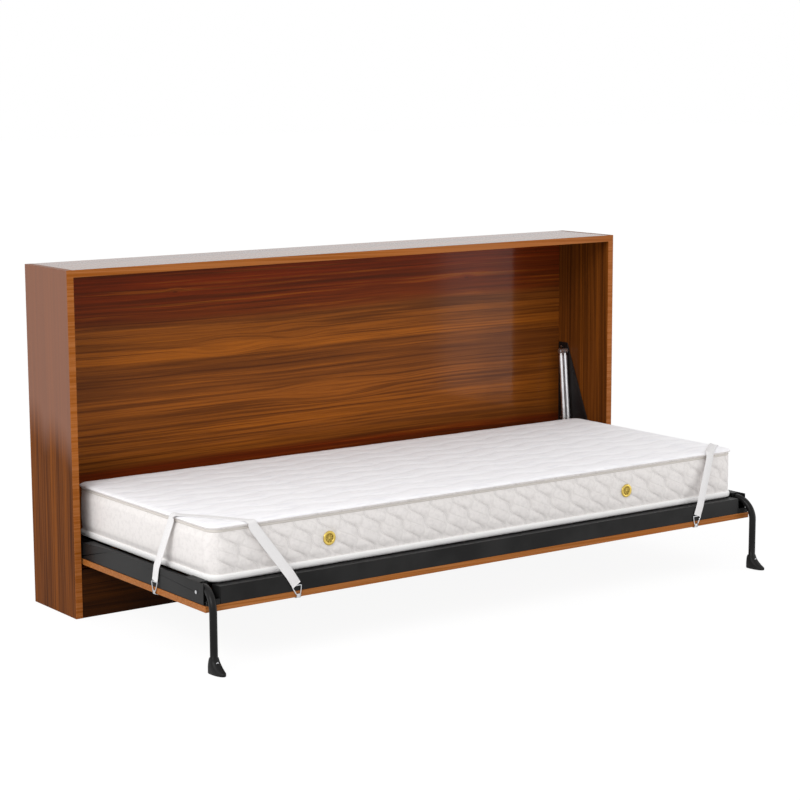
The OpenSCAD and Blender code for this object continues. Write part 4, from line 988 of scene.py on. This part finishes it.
class WALLBED_OT_cabinet(bpy.types.Operator):
    """Finishes the cabinet boards, the face panel and their edge bands"""

    bl_idname = "wallbed.cabinet"
    bl_label = "Boards"

    def execute(self, context):
        c, sizes = context.scene.wall_bed_colours, context.scene.wall_bed_sizes
        shades = c.walnut_dark, c.walnut_red, c.walnut_mid, c.walnut_light
        dark, red, mid, light = (tuple(shade) for shade in shades)
        deep, warm, gold = blend(dark, mid, 0.5), blend(mid, light, 0.3), blend(mid, light, 0.75)
        foot, honey, ember = blend(dark, red, 0.7), blend(mid, light, 0.45), blend(red, deep, 0.2)
        # The back's colour bands up from the mattress; the dark stops at both ends are partly painted shade
        # from the mattress below and the top panel above.
        upper = [
            (0.0, foot), (0.015, foot), (0.045, blend(deep, warm, 0.5)), (0.08, warm), (0.18, gold),
            (0.24, honey), (0.34, warm), (0.41, blend(deep, mid, 0.6)), (0.50, blend(deep, mid, 0.4)),
            (0.545, gold), (0.58, blend(mid, light, 0.55)), (0.66, warm), (0.70, mid),
            (0.74, blend(red, deep, 0.5)), (0.82, ember), (0.93, red), (1.0, blend(red, dark, 0.5)),
        ]
        lower = [(0.0, mid), (0.10, warm), (0.18, deep), (0.27, warm), (0.33, mid)]
        back = lower + [(0.383 + 0.617 * place, colour) for place, colour in upper]
        plain = [
            (0.0, mid), (0.2, deep), (0.38, warm), (0.55, mid), (0.7, deep), (0.85, blend(mid, red, 0.5)),
            (1.0, mid),
        ]
        side = [
            (0.0, warm), (0.25, mid), (0.45, honey), (0.6, blend(deep, mid, 0.5)), (0.8, mid),
            (1.0, blend(mid, light, 0.2)),
        ]
        knots = [
            (-0.36, 0.742, 0.20, 0.040), (-0.10, 0.768, 0.14, 0.034), (0.06, 0.560, 0.30, 0.050),
            (0.62, 0.900, 0.05, 0.018), (-0.55, 0.925, 0.05, 0.016),
        ]
        standing, upright = [(2, 1.0), (1, 0.8)], [(1, 1.0), (0, 0.6)]
        lid, lying = [(1, 1.0), (2, 0.7)], [(1, 1.0), (2, 0.8)]
        # sheen is a painted reflection on the upper left side, and shadow is painted shade on the right of
        # the back, beside the right side panel.
        sheen, shadow = (2, 0.50, 0.66, 0.80, c.walnut_painted_sheen), (0, 0.64, 0.78, 0.20, dark)
        # tone is set by how light falls on each board: full on the back in the cabinet's shade, lower on the
        # lit boards.
        walnut_back = walnut("walnut_back", 0, standing, 1.0, back, (-0.05, 1.02), 0.09, 1.0, knots, shadow)
        walnut_left = walnut("walnut_left", 2, upright, 58.0, side, (-0.92, -0.62), 0.05, 0.60, (), sheen)
        walnut_right = walnut("walnut_right", 2, upright, 71.0, side, (0.35, 0.66), 0.08, 0.66)
        walnut_face = walnut("walnut_face", 0, lying, 47.0, plain, (-0.85, -0.05), 0.30, 0.65)
        finish(["back_panel", "wall_fixing_caps"], walnut_back)
        finish(["top_panel"], walnut("walnut_top", 0, lid, 21.0, plain, (0.40, 0.75), 0.66, 0.65))
        # The kick panel's low tone is painted shade from the bed above it.
        finish(["kick_panel"], walnut("walnut_kick", 0, standing, 33.0, plain, (-0.25, 0.0), 0.04, 0.18))
        finish(["bed_panel"], walnut_face)
        finish(["left_side_panel"], walnut_left)
        finish(["right_side_panel"], walnut_right)
        finish(["cabinet_edge_bands"], banded("edge_band", c.band))
        # The face panel's bands get a lighter copy of the edge band, as painted light.
        finish(["bed_panel_edge_bands"], banded("face_band_painted_light", c.face_band_painted_light))
        finish(["cabinet_dowels", "slats"], beech("beech"))
        boards = ["top_panel", "kick_panel", "bed_panel", "left_side_panel", "right_side_panel"]
        ease(boards, sizes.board_ease)
        ease(["cabinet_edge_bands", "bed_panel_edge_bands"], sizes.board_ease)
        ease(["slats"], 0.0015)
        return {"FINISHED"}


class WALLBED_OT_metalwork(bpy.types.Operator):
    """Finishes the rails, hinges, struts and fixings"""

    bl_idname = "wallbed.metalwork"
    bl_label = "Metalwork"

    def execute(self, context):
        c, sizes = context.scene.wall_bed_colours, context.scene.wall_bed_sizes
        plates = both("hinge_plate")
        pair = both("end_rail", "corner_gusset", "hinge_arm", "hinge_block") + plates
        bars = ["front_rail", "rear_rail", "cross_bars"]
        finish(bars + pair, coated("black_coat", tuple(c.black), 1500.0, 0.0002, 0.30, 0.46))
        finish(plates, coated("plate_coat", tuple(c.plate), 1500.0, 0.0002, 0.30, 0.46))
        ease(bars, 0.003, 3)
        ease(pair, sizes.steel_ease)
        plastic = ["rail_end_caps", "slat_holders", *both("leg_bearing")]
        moulded = coated("black_plastic", tuple(c.plastic), 900.0, 0.0003, 0.4, 0.6)
        finish(plastic + both("strut_guides"), moulded)
        ease(plastic, sizes.steel_ease)
        zinc = ["hinge_plate_screws", "pivot_nuts", "panel_screws", "bearing_screws"]
        zinc += both("pivot_bolt", "strut_top_pin", "strut_lower_pin", "leg_pin", "boot_rivet")
        finish(zinc, plated("bright_zinc", tuple(c.zinc), 0.24, 0.40))
        ease(zinc, 0.0004, 2, 50)
        tubes = both("strut_tubes", "strut_rods")
        finish(tubes, plated("satin_tube", (0.90, 0.90, 0.92), 0.30, 0.42, 0.10))
        ease(tubes, 0.0006, 2, 50)
        finish(["hinge_bushes"], plated("sintered_bronze", tuple(c.bronze), 0.4, 0.55))
        ease(["hinge_bushes"], 0.0004, 2, 50)
        return {"FINISHED"}


# Stage

CAMERA_PLACE = (-3.896, -5.847, 1.630)
CAMERA_AZIMUTH, CAMERA_ELEVATION, CAMERA_ROLL = 35.96, -8.95, -0.24
CAMERA_LENS, CAMERA_SHIFT = 95.17, (-0.0027, 0.0021)


def seen_rays(nodes, links):
    """A socket that is 1 to the camera and to mirrors, and 0 as light."""
    path = nodes.new("ShaderNodeLightPath")
    seen = nodes.new("ShaderNodeMath")
    seen.operation = "MAXIMUM"
    links.new(path.outputs["Is Camera Ray"], seen.inputs[0])
    links.new(path.outputs["Is Glossy Ray"], seen.inputs[1])
    return seen.outputs[0]


def plain_world(scene):
    """A white surround: 1 to the camera and to mirrors, and softer as light."""
    world = bpy.data.worlds.new("white_surround")
    scene.world = world
    world.use_nodes = True
    nodes, links = world.node_tree.nodes, world.node_tree.links
    ground = nodes["Background"]
    ground.inputs["Color"].default_value = (1, 1, 1, 1)
    strength = nodes.new("ShaderNodeMapRange")
    links.new(seen_rays(nodes, links), strength.inputs[0])
    strength.inputs[3].default_value = 0.80
    strength.inputs[4].default_value = 1.0
    links.new(strength.outputs[0], ground.inputs["Strength"])


def white_floor():
    """A pale floor that keeps a faint shadow: mostly white to the camera and mirrors, pale grey as light."""
    material = bpy.data.materials.new("pale_floor")
    material.use_nodes = True
    nodes, links = material.node_tree.nodes, material.node_tree.links
    nodes.clear()
    out = nodes.new("ShaderNodeOutputMaterial")
    mix = nodes.new("ShaderNodeMixShader")
    flat = nodes.new("ShaderNodeBsdfDiffuse")
    flat.inputs["Color"].default_value = (0.80, 0.80, 0.80, 1)
    glow = nodes.new("ShaderNodeEmission")
    glow.inputs["Strength"].default_value = 1.07
    share = nodes.new("ShaderNodeMath")
    share.operation = "MULTIPLY"
    share.inputs[1].default_value = 0.86
    links.new(seen_rays(nodes, links), share.inputs[0])
    links.new(share.outputs[0], mix.inputs[0])
    links.new(flat.outputs[0], mix.inputs[1])
    links.new(glow.outputs[0], mix.inputs[2])
    links.new(mix.outputs[0], out.inputs[0])
    return material


def softbox(name, place, aim, width, height, power):
    """An area lamp that faces a point and isn't seen by the camera."""
    lamp = bpy.data.lights.new(name, "AREA")
    lamp.shape, lamp.size, lamp.size_y, lamp.energy = "RECTANGLE", width, height, power
    obj = bpy.data.objects.new(name, lamp)
    bpy.context.scene.collection.objects.link(obj)
    way = unit(np.subtract(aim, place))
    side = unit(np.cross(way, [0.0, 0.0, 1.0]))
    rows = np.stack([side, np.cross(side, way), -way, place], 1)
    obj.matrix_world = Matrix([*rows.tolist(), (0, 0, 0, 1)])
    obj.visible_camera = False


class WALLBED_OT_stage(bpy.types.Operator):
    """Sets the camera, the pale floor and the soft light"""

    bl_idname = "wallbed.stage"
    bl_label = "Stage"

    def execute(self, context):
        scene = context.scene
        scene.view_settings.view_transform = "Standard"
        camera = bpy.data.objects.new("camera", bpy.data.cameras.new("camera"))
        scene.collection.objects.link(camera)
        scene.camera = camera
        camera.data.lens, camera.data.sensor_width = CAMERA_LENS, 36.0
        camera.data.shift_x, camera.data.shift_y = CAMERA_SHIFT
        turn = Matrix.Rotation(math.radians(-CAMERA_AZIMUTH), 4, "Z") @ Matrix.Rotation(
            math.radians(90 + CAMERA_ELEVATION), 4, "X"
        )
        roll = Matrix.Rotation(math.radians(CAMERA_ROLL), 4, "Z")
        camera.matrix_world = Matrix.Translation(CAMERA_PLACE) @ turn @ roll

        plain_world(scene)
        corners = [(-40, -40, -0.0005), (40, -40, -0.0005), (40, 40, -0.0005), (-40, 40, -0.0005)]
        mesh = bpy.data.meshes.new("floor")
        mesh.from_pydata(corners, [], [(0, 1, 2, 3)])
        mesh.materials.append(white_floor())
        floor = bpy.data.objects.new("floor", mesh)
        scene.collection.objects.link(floor)
        softbox("key", (-4.6, -2.4, 3.4), (0, -0.5, 0.4), 3.0, 2.0, 130)
        softbox("strip", (2.70, -2.45, 0.70), (0.70, 0.0, 0.70), 0.55, 1.4, 11)
        return {"FINISHED"}


OPERATORS = [
    WALLBED_OT_stage, WALLBED_OT_cabinet, WALLBED_OT_metalwork, WALLBED_OT_legs, WALLBED_OT_mattress,
    WALLBED_OT_vents, WALLBED_OT_straps, WALLBED_OT_hooks,
]


class WALLBED_PT_panel(bpy.types.Panel):
    """Lists the pieces and their sizes and colours"""

    bl_idname = "WALLBED_PT_panel"
    bl_label = "Wall bed"
    bl_space_type = "VIEW_3D"
    bl_region_type = "UI"
    bl_category = "Wall bed"

    def draw(self, context):
        for operator in OPERATORS:
            self.layout.operator(operator.bl_idname)
        for group in (context.scene.wall_bed_sizes, context.scene.wall_bed_colours):
            box = self.layout.box()
            for key in group.__annotations__:
                box.prop(group, key)


CLASSES = [WallBedSizes, WallBedColours, *OPERATORS, WALLBED_PT_panel]


def register():
    for cls in CLASSES:
        bpy.utils.register_class(cls)
    bpy.types.Scene.wall_bed_sizes = PointerProperty(type=WallBedSizes)
    bpy.types.Scene.wall_bed_colours = PointerProperty(type=WallBedColours)


def unregister():
    del bpy.types.Scene.wall_bed_sizes
    del bpy.types.Scene.wall_bed_colours
    for cls in reversed(CLASSES):
        bpy.utils.unregister_class(cls)


def main():
    register()
    for operator in OPERATORS:
        getattr(bpy.ops.wallbed, operator.bl_idname.split(".")[1])()


if __name__ == "__main__":
    main()
